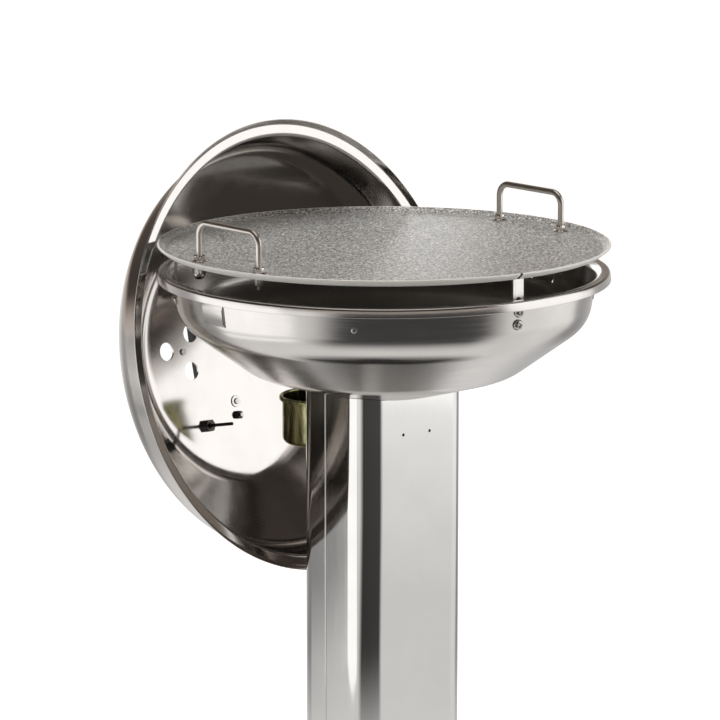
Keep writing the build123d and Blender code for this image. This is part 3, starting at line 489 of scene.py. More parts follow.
def makeHandle(name, x, *replaced):
    s = handleSizes
    half, foot, bar = s["half"], s["foot"], s["bar"]
    flat = roundedLine([(-half, foot), (-half, bar), (half, bar), (half, foot)], [s["bend"]] * 2, 6, 1.0)
    bm = bmesh.new()
    sweepRod(bm, [Vector((x, p[0], p[1])) for p in flat], s["radius"], Vector((1, 0, 0)))
    for y, low in ((-half, s["frontEnd"]), (half, s["rearEnd"])):
        profile = [(0, low), (s["threadTip"], low)]
        steps = int((foot + s["threadIn"] - low) / (s["pitch"] / 2))
        for k in range(1, steps + 1):  # ridges of the thread
            profile.append((s["thread"] - (s["ridge"] if k % 2 else 0), low + k * s["pitch"] / 2))
        profile.append((0, profile[-1][1]))
        thread = spunMesh(profile, 20)
        bmesh.ops.translate(thread, verts=thread.verts, vec=(x, y, 0))
        joinShape(bm, thread)
    return settle(makeObject(name, bm, finish["rod"], griddlePlace), "griddle", "polished_rod", *replaced)


makeHandle("GriddleHandleLeft", -handleSizes["offset"], "griddle_handle_left")
makeHandle("GriddleHandleRight", handleSizes["offset"], "griddle_handle_right")
print("griddle handles made")

# Lid, drawn closed and then hung
lidSizes = {
    "line": [(294.7, 0.3), (289.5, 7.4), (275.5, 8.2), (268.0, 65.0), (158.0, 146.0), (128.0, 146.0)],
    "rounds": [4, 4, 48, 60], "sheet": 1.2, "segments": 240,
    "centre": (2.2, 173.3, 735.4), "turn": 8.6, "tilt": 12.0,
    "ventX": -80.5, "ventUp": 11.5, "ventCircle": 28.5, "ventHole": 12.0, "ventAngle": 51.4, "ventCount": 3,
    "ventSegments": 48,
}


def lidMatrix():
    turn, tilt = radians(lidSizes["turn"]), radians(lidSizes["tilt"])
    across = Vector((cos(turn), sin(turn), 0))
    out = Vector((-sin(turn) * cos(tilt), cos(turn) * cos(tilt), -sin(tilt)))
    matrix = Matrix((across, out.cross(across), out)).transposed().to_4x4()
    matrix.translation = lidSizes["centre"]
    return matrix


lidPlace = lidMatrix()


def makeLid():
    s = lidSizes
    count = s["ventSegments"]
    outer = roundedLine(s["line"], s["rounds"], 4, 1.0)
    inner = moved(outer, s["sheet"])
    edge = roundedEdge(outer[0], inner[0], Vector((0.5, -1)))
    bm = bmesh.new()
    rings = spinRings(bm, list(reversed(outer)) + edge + inner, evenAngles(s["segments"]))
    spinFaces(bm, rings)
    circles = []
    for height, rim in ((s["line"][-1][1], rings[0]), (inner[-1][1], rings[-1])):
        loops = [rim]
        for i in range(s["ventCount"]):
            spread = radians(i * 360 / s["ventCount"] - s["ventAngle"])
            x = s["ventX"] + s["ventCircle"] * cos(spread)
            y = -s["ventUp"] + s["ventCircle"] * sin(spread)
            loops.append([bm.verts.new((x + s["ventHole"] * cos(a), y + s["ventHole"] * sin(a), height))
                    for a in (2 * pi * k / count for k in range(count))])
        edges = []
        for loop in loops:
            for a, b in zip(loop, loop[1:] + loop[:1]):
                edges.append(bm.edges.get((a, b)) or bm.edges.new((a, b)))
        bmesh.ops.triangle_fill(bm, use_beauty=True, use_dissolve=False, edges=edges)
        circles.append(loops[1:])
    for top, bottom in zip(*circles):
        for k in range(count):
            after = (k + 1) % count
            bm.faces.new([top[k], top[after], bottom[after], bottom[k]])
    return makeObject("LidShell", bm, finish["lid"], lidPlace)


settle(makeLid(), "lid", "stainless_sheet", "lid_shell")
print("lid made")

# Column of two folded shells with rounded edges at the seams
columnSizes = {
    "width": 170.0, "depth": 140.0, "back": 3.0, "corner": 31.5, "wall": 1.5, "seam": 11.0, "seamGap": 0.3,
    "edgeRound": 1.2, "bottom": 11.1, "bowlGap": 0.4, "belowLip": 845,
    "holeRadius": 2.0, "holeSpacing": 42.0, "holeHeight": 658.5, "holePatch": 6.0, "quarterSteps": 6,
}


def bowlUnderside(radius):
    outside = bowlLines()[1]
    for a, b in zip(outside, outside[1:]):
        if b[0] <= radius <= a[0] and a[1] < columnSizes["belowLip"]:
            t = (radius - b[0]) / max(a[0] - b[0], tiny)
            return b[1] + (a[1] - b[1]) * t - columnSizes["bowlGap"]
    return outside[-1][1] - columnSizes["bowlGap"]


def makeShell(name, front, *replaced):
    s = columnSizes
    side = -1 if front else 1
    x = s["width"] / 2
    y = s["back"] + side * s["depth"] / 2
    inX, inY = x - s["wall"], y - side * s["wall"]
    seam = s["seam"] + side * s["seamGap"] / 2
    bend = s["corner"] - s["wall"]
    outer = roundedLine([(-inX, seam), (-x, seam), (-x, y), (x, y), (x, seam), (inX, seam)],
            [s["edgeRound"], s["corner"], s["corner"], s["edgeRound"]], 3, 0.6)
    inner = roundedLine([(-inX, seam), (-inX, inY), (inX, inY), (inX, seam)], [bend, bend], 3, 0.6)
    spans = []  # from and to of the square patch round each hole
    if front:
        middles = (-s["holeSpacing"] / 2, s["holeSpacing"] / 2)
        spans = [(m - s["holePatch"], m + s["holePatch"]) for m in middles]
        for line, level in ((outer, y), (inner, inY)):
            at = next(i for i, p in enumerate(line) if p[0] > spans[0][0] and abs(p[1] - level) < tiny)
            line[at:at] = [Vector((m, level)) for span in spans for m in span]
    loop = outer + list(reversed(inner))[1:-1]
    heights = (s["bottom"], s["holeHeight"] - s["holePatch"], s["holeHeight"] + s["holePatch"], None)
    bm = bmesh.new()
    grid = [[bm.verts.new((p[0], p[1], z or bowlUnderside(p.length))) for p in loop] for z in heights]
    patches = []
    for i, (low, high) in enumerate(zip(grid, grid[1:])):
        for j in range(len(loop)):
            k = (j + 1) % len(loop)
            corners = [low[j], low[k], high[k], high[j]]
            first, last = sorted((loop[j][0], loop[k][0]))
            flat = abs(loop[j][1] - loop[k][1]) < tiny
            if i == 1 and flat and any(abs(first - a) < near and abs(last - b) < near for a, b in spans):
                patches.append(corners)
            else:
                bm.faces.new(corners)
    steps = s["quarterSteps"]
    rings = []
    for corners in patches:
        centre = sum((v.co for v in corners), Vector()) / 4
        ring = []
        for q in range(4):
            a, b = corners[q].co - centre, corners[(q + 1) % 4].co - centre
            for t in range(steps):
                ring.append(bm.verts.new(centre + a.lerp(b, t / steps).normalized() * s["holeRadius"]))
        for q in range(4):
            arc = [ring[(q * steps + t) % len(ring)] for t in range(steps + 1)]
            bm.faces.new([corners[q], corners[(q + 1) % 4]] + list(reversed(arc)))
        rings.append(ring)
    outerRings = [r for r in rings if abs(r[0].co.y - y) < near]
    innerPoints = [v for r in rings if r not in outerRings for v in r]
    for ring in outerRings:
        for v, w in zip(ring, ring[1:] + ring[:1]):
            facing = [min(innerPoints, key=lambda p: (p.co.x - c.co.x) ** 2 + (p.co.z - c.co.z) ** 2)
                    for c in (w, v)]
            bm.faces.new([v, w] + facing)
    bmesh.ops.holes_fill(bm, edges=[e for e in bm.edges if e.is_boundary], sides=0)
    return settle(makeObject(name, bm, finish["column"], sharp=40), "stand", "stainless_sheet", *replaced)


makeShell("ColumnFrontShell", True, "column_front_shell")
makeShell("ColumnRearShell", False, "column_rear_shell")
print("column made")

# Drip cup with a rolled rim, and the drain above it
cupSizes = {
    "line": [(0, 614.0), (49.0, 614.0), (49.0, 675.0), (54.0, 675.0), (54.0, 670.0)],
    "rounds": [6, 2.4, 2.4], "sheet": 1.0, "back": 134.0,
    "drain": [(7.5, 678.0), (9.0, 678.0), (9.0, 726.3), (7.5, 726.3)],
}
cupPlace = Matrix.Translation((0, cupSizes["back"], 0))


def makeCup():
    s = cupSizes
    inside = roundedLine(s["line"], s["rounds"], 8, 0.5)
    outside = moved(inside, -s["sheet"])
    outside[0] = Vector((0, outside[0][1]))
    profile = inside + roundedEdge(inside[-1], outside[-1], Vector((0, -1)), 4) + list(reversed(outside))
    return makeObject("DripCup", spunMesh(profile, 96), finish["zinc"], cupPlace)


settle(makeCup(), "cup", "yellow_zinc", "drip_cup")
settle(makeObject("DrainTube", spunMesh(cupSizes["drain"], 48, True), finish["fastener"], cupPlace), "stand",
        "zinc_fastener", "drain_tube")
print("cup made")

# Lid grip, turned with a groove near each end
gripSizes = {
    "height": 201.1,
    "half": [(0, 53.9), (9.6, 53.9), (10.9, 52.8), (11.5, 48.5), (11.5, 46.6), (10.6, 45.6), (10.6, 44.6),
        (11.5, 43.6), (11.8, 30.0), (12.0, 15.0)],
}


def makeGrip():
    half = [Vector(p) for p in gripSizes["half"]]
    profile = half + [Vector((p[0], -p[1])) for p in reversed(half)]
    place = lidPlace @ Matrix.Translation((0, 0, gripSizes["height"])) @ Matrix.Rotation(radians(90), 4, "X")
    return makeObject("LidGrip", spunMesh(profile, 48), finish["grip"], place)


settle(makeGrip(), "lid", "grip_plastic", "lid_grip")

# Thermometer bezel and the marks of its dial
gaugeSizes = {
    "x": -58.0, "up": -90.5, "bezelFoot": 160.2,
    "bezel": [(21.0, -1.4), (23.3, -1.4), (23.3, 0), (27.0, 0), (27.0, 1.2), (26.7, 1.8), (26.0, 2.0),
        (24.0, 2.0), (21.0, 0.8)],
    "dialFace": 149.85, "markRadius": 18.6, "markFirst": -45.0, "markStep": 6.75, "markCount": 41,
    "longEvery": 5, "markLong": 4.4, "markShort": 2.4, "longWidth": 1.125, "markWidth": 0.75,
    "markLift": 0.04,
}
gaugePlace = lidPlace @ Matrix.Translation((gaugeSizes["x"], -gaugeSizes["up"], 0))
bezelPlace = gaugePlace @ Matrix.Translation((0, 0, gaugeSizes["bezelFoot"]))
settle(makeObject("ThermometerBezel", spunMesh(gaugeSizes["bezel"], 96, True), finish["polish"], bezelPlace),
        "lid", "polished_rod", "thermometer_bezel")
print("lid fittings made")


# Geometry nodes: the prototype stands on each point along the point's axis, turned by the point's spin
def repeatTree():
    tree = bpy.data.node_groups.new("RepeatOnPoints", "GeometryNodeTree")
    face = tree.interface
    face.new_socket("Geometry", in_out="INPUT", socket_type="NodeSocketGeometry")
    sockets = {}
    for name, kind in (("Prototype", "Object"), ("Finish", "Material"), ("Size", "Float")):
        sockets[name] = face.new_socket(name, in_out="INPUT", socket_type="NodeSocket" + kind).identifier
    face.new_socket("Geometry", in_out="OUTPUT", socket_type="NodeSocketGeometry")
    entry = addNode(tree, "NodeGroupInput")
    axis = addNode(tree, "GeometryNodeInputNamedAttribute", {"Name": "axis"}, data_type="FLOAT_VECTOR")
    spin = addNode(tree, "GeometryNodeInputNamedAttribute", {"Name": "spin"}, data_type="FLOAT")
    aim = addNode(tree, "FunctionNodeAlignRotationToVector", {"Vector": axis.outputs["Attribute"]}, axis="Z")
    twist = addNode(tree, "FunctionNodeAxisAngleToRotation",
            {"Axis": (0, 0, 1), "Angle": spin.outputs["Attribute"]})
    turn = addNode(tree, "FunctionNodeRotateRotation", {"Rotation": aim, "Rotate By": twist},
            rotation_space="LOCAL")
    shape = addNode(tree, "GeometryNodeObjectInfo", {"Object": entry.outputs["Prototype"]})
    spread = addNode(tree, "GeometryNodeInstanceOnPoints",
            {"Points": entry.outputs["Geometry"], "Instance": shape.outputs["Geometry"],
            "Rotation": turn, "Scale": entry.outputs["Size"]})
    real = addNode(tree, "GeometryNodeRealizeInstances", {"Geometry": spread})
    dressed = addNode(tree, "GeometryNodeSetMaterial",
            {"Geometry": real, "Material": entry.outputs["Finish"]})
    addNode(tree, "NodeGroupOutput", {"Geometry": dressed})
    return tree, sockets


repeatGroup, repeatSockets = repeatTree()


def plainMesh(item):
    return bpy.data.meshes.new_from_object(item.evaluated_get(bpy.context.evaluated_depsgraph_get()))


# spots are (place, axis, spin in degrees) in millimetres of the row frame
def repeatPiece(name, prototype, spots, body, *replaced, look="fastener", slotName="zinc_fastener"):
    points = bpy.data.meshes.new(name + "Points")
    points.from_pydata([Vector(p) * mm for p, a, t in spots], [], [])
    axes = points.attributes.new("axis", "FLOAT_VECTOR", "POINT")
    axes.data.foreach_set("vector", [c for p, a, t in spots for c in a])
    spins = points.attributes.new("spin", "FLOAT", "POINT")
    spins.data.foreach_set("value", [radians(t) for p, a, t in spots])
    carrier = linkMesh(name + "Carrier", points)
    modifier = carrier.modifiers.new("Repeat", "NODES")
    modifier.node_group = repeatGroup
    modifier[repeatSockets["Prototype"]] = prototype
    modifier[repeatSockets["Finish"]] = finish[look]
    modifier[repeatSockets["Size"]] = 1.0
    mesh = plainMesh(carrier)
    mesh.name = name
    carrier.modifiers.remove(modifier)
    bpy.data.objects.remove(carrier)
    bpy.data.objects.remove(prototype)
    return settle(linkMesh(name, mesh), body, slotName, *replaced)


def prototypeOf(profile, segments=36, closed=False):
    return makeObject("Prototype", spunMesh(profile, segments, closed), [])


# plain hexagon nut from low to high, with its corners turned down
def nutOf(flats, low, high, bore, turned=0.7, faceShare=0.96):
    r = flats / 2
    face = r * faceShare
    return prototypeOf([(bore, low), (face, low), (r, low + turned, True), (r, high - turned, True),
            (face, high), (bore, high)], 36, True)


# domed head on a shank that ends at the given depth
def headProfile(radius, height, shank, depth, flatShare=0.35, steps=8, lip=0.25, bevel=0.4):
    profile = [(0, height)]
    for k in range(1, steps + 1):
        t = radians(90 * k / steps)
        r = radius * (flatShare + (1 - flatShare) * sin(t))
        profile.append((r, height * cos(t) + lip * (k == steps)))
    return profile + [(radius, 0), (shank, 0), (shank, -depth + bevel), (shank - bevel, -depth), (0, -depth)]


# share of a cross recess's width and length that each half of it takes, at its mouth and at its floor
recessTaper = {"mouth": (0.62, 0.56), "floor": (0.38, 0.3), "above": 1}


# screw with a cross recess cut into its head
def crossScrew(radius, height, shank, depth, recess):
    screw = prototypeOf(headProfile(radius, height, shank, depth), 48)
    width, length, sink = recess
    cutter = bmesh.new()
    for turn in (0, 90):
        arm = bmesh.new()
        rows = []
        for z, (wide, long) in ((height - sink, recessTaper["floor"]),
                (height + recessTaper["above"], recessTaper["mouth"])):
            w, h = width * wide, length * long
            rows.append([arm.verts.new(p) for p in ((-h, -w, z), (h, -w, z), (h, w, z), (-h, w, z))])
        low, high = rows
        for k in range(4):
            arm.faces.new([low[k], low[(k + 1) % 4], high[(k + 1) % 4], high[k]])
        arm.faces.new(high)
        arm.faces.new(list(reversed(low)))
        bmesh.ops.rotate(arm, verts=arm.verts, matrix=Matrix.Rotation(radians(turn), 3, "Z"))
        joinShape(cutter, arm)
    blade = makeObject("RecessBlade", cutter, [], recalc=False)
    cut = screw.modifiers.new("Recess", "BOOLEAN")
    cut.operation, cut.object, cut.solver, cut.use_self = "DIFFERENCE", blade, "EXACT", True
    mesh = plainMesh(screw)
    mesh.set_sharp_from_angle(angle=radians(sharpAngle))
    screw.modifiers.remove(cut)
    screw.data = mesh
    bpy.data.objects.remove(blade)
    return screw


# Nuts of the griddle handles
nutSizes = {
    "seat": 888.3, "under": 885.1,
    "flange": [(4.1, 0), (8.6, 0), (9.0, 0.3), (9.0, 0.8), (8.2, 1.4), (7.2, 1.8), (6.5, 2.3, True),
        (6.5, 7.3, True), (6.3, 8.1), (4.8, 8.1), (4.1, 7.5)],
    "flangeSpins": (12, 37, 52, 5),
    "sleeve": (8.5, -11.6, 0, 2.6), "sleeveSpin": 20,
    "cap": [(0, 0), (7.1, 0), (7.5, -0.7, True), (7.5, -11.4, True), (7.45, -12.0)],
    "dome": 7.4, "domeTop": -12.2, "domeStep": 9, "capSpin": 11,
}


def onPlate(x, y, height, spin):
    return griddlePlace @ Vector((x, y, height)), (0.0, 0.0, 1.0), spin


def makeHandleNuts():
    s = nutSizes
    legs = [(x * handleSizes["offset"], y * handleSizes["half"]) for x in (-1, 1) for y in (-1, 1)]
    turns = [radians(a) for a in range(s["domeStep"], 90, s["domeStep"])]
    cap = s["cap"] + [(s["dome"] * cos(t), s["domeTop"] - s["dome"] * sin(t)) for t in turns]
    cap.append((0, s["domeTop"] - s["dome"]))
    repeatPiece("HandleFlangeNuts", prototypeOf(s["flange"], 48, True),
            [onPlate(x, y, s["seat"], t) for (x, y), t in zip(legs, s["flangeSpins"])],
            "griddle", "handle_flange_nuts", look="polish")
    repeatPiece("HandleSleeveNuts", nutOf(*s["sleeve"]),
            [onPlate(x, y, s["under"], s["sleeveSpin"]) for x, y in legs if y < 0],
            "griddle", "handle_sleeve_nuts", look="strip")
    repeatPiece("HandleCapNuts", prototypeOf(cap, 48),
            [onPlate(x, y, s["under"], s["capSpin"]) for x, y in legs if y > 0],
            "griddle", "handle_cap_nuts", look="polish", slotName="polished_rod")


makeHandleNuts()

# Screws, nuts and pegs in the bowl's wall; a screw is radius, height, shank, depth and recess
wallSizes = {
    "rim": 860.0, "radius": 267.8, "lean": 9.0 / 63.5, "sheet": 1.2,
    "screwAngles": (0, 120, 240), "screwDrops": (17.5, 33.5), "spins": (33, 8, 61, 24, 77, 45),
    "screw": (7.0, 4.0, 2.5, 10.6, (2.6, 7.5, 2.0)), "screwSeat": 0.3,
    "nut": (8.0, 0, 4.0, 2.6), "nutSeat": -8.72,
    "pegAngles": (-134.3, -45.7, 45.7, 134.3), "pegDrop": 31.0, "peg": (3.6, 1.2, 3.0, 13.2), "pegSeat": 0.1,
}


def onWall(drop, angle, outward, spin):
    s = wallSizes
    turn, lean = radians(angle), atan(s["lean"])
    normal = Vector((sin(turn) * cos(lean), -cos(turn) * cos(lean), -sin(lean)))
    out = s["radius"] - drop * s["lean"] + s["sheet"] / cos(lean)
    place = Vector((out * sin(turn), -out * cos(turn), s["rim"] - drop))
    return place + normal * outward, tuple(normal), spin


def makeWallFasteners():
    s = wallSizes
    spots = [(d, a) for a in s["screwAngles"] for d in s["screwDrops"]]
    for name, prototype, seat, node in (
            ("SupportScrews", crossScrew(*s["screw"]), s["screwSeat"], "support_screws"),
            ("SupportNuts", nutOf(*s["nut"]), s["nutSeat"], "support_nuts")):
        places = [onWall(d, a, seat, t) for (d, a), t in zip(spots, s["spins"])]
        repeatPiece(name, prototype, places, "stand", node)
    repeatPiece("GridPegs", prototypeOf(headProfile(*s["peg"]), 32),
            [onWall(s["pegDrop"], a, s["pegSeat"], 0) for a in s["pegAngles"]], "stand", "grid_pegs")


makeWallFasteners()

# Fasteners of the lid: up is towards the lid's upper edge as it hangs
lidFasteners = {
    "outside": 148.7, "boltUp": 84.5, "boltSpin": 14,
    "bolt": [(0, 3.9), (4.7, 3.9), (5.0, 3.4, True), (5.0, 0.4, True), (4.8, 0), (3.0, 0), (3.0, -12.1),
        (2.6, -12.5), (0, -12.5)],
    "nut": (10.0, 0, 6.0, 3.1), "nutHeight": 138.7, "nutSpin": 22,
    "rivetUp": 66.0, "rivetStack": 5.3, "rivetHead": (5.0, 1.6, 2.4),
    "rivetTail": [(2.4, 0), (3.9, 0), (4.0, 0.6), (3.2, 1.6), (0, 1.6)],
    "washer": [(2.5, 0), (7.7, 0), (8.0, 0.3), (8.0, 0.9), (7.7, 1.2), (2.5, 1.2)], "washerHeight": 143.5,
    "hookUps": (100.25, 114.75), "hookHeight": 146.1, "hookStack": 4.2,
    "gripUp": 56.6, "gripSpin": 30, "gripScrew": (5.0, 3.0, 2.5, 20.6, (2.0, 5.5, 1.6)),
}
lidTurn = lidPlace.to_3x3()
lidOut = tuple(lidTurn @ Vector((0, 0, 1)))


def onLid(ups, height, spin=0):
    return [(lidPlace @ Vector((0, -up, height)), lidOut, spin) for up in ups]


def rivetOf(stack):
    head = headProfile(*lidFasteners["rivetHead"], stack)[:-3]
    return prototypeOf(head + [(r, -stack - z) for r, z in lidFasteners["rivetTail"]], 32)


def makeLidFasteners():
    s = lidFasteners
    boltUps = (s["boltUp"], -s["boltUp"])
    rivetUps = (s["rivetUp"], -s["rivetUp"])
    repeatPiece("LidHandleBolts", prototypeOf(s["bolt"]), onLid(boltUps, s["outside"], s["boltSpin"]),
            "lid", "lid_handle_bolts")
    repeatPiece("LidHandleNuts", nutOf(*s["nut"]), onLid(boltUps, s["nutHeight"], s["nutSpin"]),
            "lid", "lid_handle_nuts", look="dark", slotName="black_metal")
    repeatPiece("LidHandleRivets", rivetOf(s["rivetStack"]), onLid(rivetUps, s["outside"]),
            "lid", "lid_handle_rivets")
    repeatPiece("LidHandleWashers", prototypeOf(s["washer"], 48, True), onLid(rivetUps, s["washerHeight"]),
            "lid", "lid_handle_washers", look="strip")
    repeatPiece("LidHookRivets", rivetOf(s["hookStack"]), onLid(s["hookUps"], s["hookHeight"]),
            "lid", "lid_hook_rivets")
    ends = []
    for e in (1, -1):
        place = lidPlace @ Vector((0, -e * s["gripUp"], gripSizes["height"]))
        ends.append((place, tuple(lidTurn @ Vector((0, -e, 0))), s["gripSpin"] * e))
    repeatPiece("LidGripScrews", crossScrew(*s["gripScrew"]), ends, "lid", "lid_grip_screws")


makeLidFasteners()

# Screws of the cup's holder
holderScrews = {
    "screw": (4.5, 2.5, 2.5, 8.7, (1.8, 5.0, 1.4)), "back": 75.4, "heights": (621.0, 663.0), "spin": 25,
}
repeatPiece("CupHolderScrews", crossScrew(*holderScrews["screw"]),
        [((0, holderScrews["back"], z), (0, 1, 0), holderScrews["spin"]) for z in holderScrews["heights"]],
        "stand", "cup_holder_screws")

# turn that sets the dial's marks straight along the lid's own axes
shortest = Vector((0, 0, 1)).rotation_difference(Vector(lidOut))
zeroWay = shortest.inverted() @ (lidTurn @ Vector((1, 0, 0)))
zeroTurn = -degrees(atan2(zeroWay.y, zeroWay.x))


def dialMarks(name, isLong, depth, width):
    s = gaugeSizes
    spots = []
    for i in range(s["markCount"]):
        if (i % s["longEvery"] == 0) == isLong:
            angle = s["markFirst"] + i * s["markStep"]
            way = Vector((cos(radians(angle)), sin(radians(angle)), 0)) * s["markRadius"]
            spots.append((gaugePlace @ (way + Vector((0, 0, s["dialFace"]))), lidOut, angle - zeroTurn))
    half, lift = width / 2, s["markLift"]
    corners = ((-depth, -half, lift), (0, -half, lift), (0, half, lift), (-depth, half, lift))
    bm = bmesh.new()
    bm.faces.new([bm.verts.new(p) for p in corners])
    repeatPiece(name, makeObject("Prototype", bm, [], recalc=False), spots, "lid", look="mark",
            slotName="black_metal")


dialMarks("DialLongMarks", True, gaugeSizes["markLong"], gaugeSizes["longWidth"])
dialMarks("DialShortMarks", False, gaugeSizes["markShort"], gaugeSizes["markWidth"])
print("fasteners and marks made")

# Camera at the photograph's viewing angle
cameraSizes = {"azimuth": -37.5, "elevation": 11.18, "distance": 5000.0, "target": (-24.14, 18.53, 741.5),
        "lens": 196.91, "sensor": 36.0, "clipNear": 100, "clipFar": 100000}


def makeCamera():
    s = cameraSizes
    a, e = radians(s["azimuth"]), radians(s["elevation"])
    back = Vector((sin(a) * cos(e), -cos(a) * cos(e), sin(e)))
    data = bpy.data.cameras.new("Camera")
    data.lens, data.sensor_width = s["lens"], s["sensor"]
    data.clip_start, data.clip_end = s["clipNear"] * mm, s["clipFar"] * mm
    camera = bpy.data.objects.new("Camera", data)
    camera.location = (Vector(s["target"]) + back * s["distance"]) * mm
    camera.rotation_mode = "QUATERNION"
    camera.rotation_quaternion = (-back).to_track_quat("-Z", "Y")
    scene.collection.objects.link(camera)
    scene.camera = camera


makeCamera()

# finishes of the nodes that keep their solids
nodeFinish = {
    "strip": ["griddle_support_front", "griddle_support_left", "griddle_support_right", "cup_holder",
        "lid_hook", "lid_handle_brackets", "vent_damper"],
    "fastener": ["vent_pivot", "bowl_bolts", "bowl_nuts", "base_bolts", "base_nuts", "cup_magnet"],
    "dark": ["thermometer_case", "thermometer_nut"],
    "inner": ["column_foot", "seam_strip_left", "seam_strip_right", "bowl_saddle"],
    "burnt": ["fire_pot", "fire_grate"],
    "base": ["base_plate"],
    "rubber": ["base_pad"],
    "dial": ["thermometer_dial"],
    "needle": ["thermometer_needle"],
    "glass": ["thermometer_glass"],
}
for look, names in nodeFinish.items():
    for name in names:
        mesh = nodes[name].data
        mesh.materials.clear()
        mesh.materials.append(finish[look])
print("solids dressed")

# Pale floor, white backdrop, soft boxes and a dim room on the camera's side, in metres; directions are in
# degrees, from the left to the front
stageSizes = {
    "floorSize": 60.0, "floorTone": "#EDEDED", "warmTone": "#FFEBDC", "cardTone": "#FFF0E4",
    "backdrop": 1.0, "fill": 0.34, "horizon": 0.6, "horizonSpan": (0.03, 0.2), "roomDim": 0.034,
    "topLight": 0.9, "topSpan": (0.84, 0.93), "warmSpan": (0.1, 1.2), "cardSteps": 24,
    "lamp": 42, "lampSize": 1.6, "lampPlace": (0.15, 0.5, 2.7), "lampTilt": -12,
}
# how the floor changes with the distance from its middle: from and to, the values there, and the blend
floorFades = {
    "twist": (1.4, 2.4, 0.0, 0.15, "LINEAR"),  # turns the ring of light below
    "core": (0.3, 0.5, 0.25, 0.9, "SMOOTHSTEP"),  # painted shade under the base, as metal shows it
    "pool": (0.6, 1.5, 1.0, 0.0, "SMOOTHSTEP"),  # share of that core against the ring
    "rise": (1.8, 3.4, 1.0, 1.35, "LINEAR"),  # brighter ring further out
    "spread": (0.8, 4.0, 0.6, 0.8, "LINEAR"),  # glow of the floor as it is seen
    "contact": (0.25, 0.95, 0.4, 1.0, "SMOOTHSTEP"),  # keeps the shadow round the base, and paints a soft grey shade round it
}
# painted light on the floor, which it gives off only for rays off metal and glass, by direction
floorRing = [(-180, 0.3), (-160, 0.4), (-135, 0.7), (-100, 0.62), (-78, 0.32), (-56, 0.3), (-48, 0.8),
        (8, 0.8), (24, 0.05), (102, 0.06), (117, 0.86), (134, 0.86), (146, 0.95), (168, 0.9), (180, 0.4)]
# light of the room above the floor, by direction
roomRing = [(-180, 0.05), (-160, 0.1), (-146, 0.25), (-104, 0.25), (-92, 0.1), (-60, 0.05), (-40, 0.034),
        (120, 0.034), (165, 0.04), (180, 0.05)]
# name: from and to direction, distance, low and high edges, strength
softBoxes = {
    "SoftBoxLeft": (-49.5, 3.0, 1.7, 0.0, 0.92, 1.5),
    "SoftBoxRight": (112.0, 165.0, 2.3, 0.22, 2.9, 1.5),
    "SoftBoxRear": (-133.0, -112.0, 1.7, 0.93, 1.26, 2.5),
    "SoftBoxLow": (-48.4, 3.7, 1.2, 0.0, 0.16, 1.5),
}
# from and to direction, inner and outer radius, height, strength
rearCard = (-178.0, -80.0, 0.245, 0.335, 0.8, 0.05)


def compass(direction):
    turn = radians(direction)
    return Vector((-cos(turn), -sin(turn), 0))


# lit surface that shows only by its light and in reflections
def setAside(name, bm, material):
    item = makeObject(name, bm, material, recalc=False)
    item.visible_camera = False
    item.visible_shadow = False
    return item


def makePanel(name, first, last, distance, low, high, strength):
    reach = distance / cos(radians((last - first) / 2))
    ends = [compass(first) * reach, compass(last) * reach]
    bm = bmesh.new()
    corners = [ends[e] + Vector((0, 0, z)) for e, z in ((0, low), (1, low), (1, high), (0, high))]
    bm.faces.new([bm.verts.new(c / mm) for c in corners])
    material, tree = bareMaterial(name)
    light = addNode(tree, "Emission", {"Strength": strength})
    addNode(tree, "OutputMaterial", {"Surface": light})
    setAside(name, bm, material)


# dim card behind the bowl that keeps the pale floor out of the upper lid; seen only in reflections, it paints
# shade into the lid's reflection
def makeCard(name, first, last, inner, outer, height, strength):
    steps = stageSizes["cardSteps"]
    bm = bmesh.new()
    turns = [first + (last - first) * k / steps for k in range(steps + 1)]
    up = Vector((0, 0, height))
    rows = [[bm.verts.new((compass(t) * r + up) / mm) for t in turns] for r in (inner, outer)]
    for a, b, c, d in zip(rows[0], rows[1], rows[1][1:], rows[0][1:]):
        bm.faces.new([a, b, c, d])
    material, tree = bareMaterial(name)
    light = addNode(tree, "Emission", {"Color": linear(stageSizes["cardTone"]), "Strength": strength})
    clear = addNode(tree, "BsdfTransparent")
    below = addNode(tree, "NewGeometry").outputs["Backfacing"]
    upper = addNode(tree, "MixShader", {0: below, 1: light, 2: clear})
    addNode(tree, "OutputMaterial", {"Surface": upper})
    setAside(name, bm, material).visible_diffuse = False


# value that changes with the direction of a vector round the upright axis, turned by the given angle
def ringValue(tree, vector, ring, turned=0.0):
    parts = addNode(tree, "SeparateXYZ", {0: vector})
    back = [addNode(tree, "Math", {0: parts.outputs[axis], 1: -1.0}, operation="MULTIPLY")
            for axis in ("Y", "X")]
    angle = addNode(tree, "Math", {0: back[0], 1: back[1]}, operation="ARCTAN2")
    angle = addNode(tree, "Math", {0: angle, 1: turned}, operation="SUBTRACT")
    share = addNode(tree, "MapRange", {"Value": angle, "From Min": -pi, "From Max": pi})
    ramp = fillRamp(addNode(tree, "ValToRGB", {"Fac": share}),
            [((direction + 180) / 360, value) for direction, value in ring])
    return ramp, parts.outputs["Z"]


# rays that come by way of metal or glass
def mirroredRays(tree, rays):
    return addNode(tree, "Math", {0: rays.outputs["Is Glossy Ray"], 1: rays.outputs["Is Transmission Ray"]},
            operation="MAXIMUM")


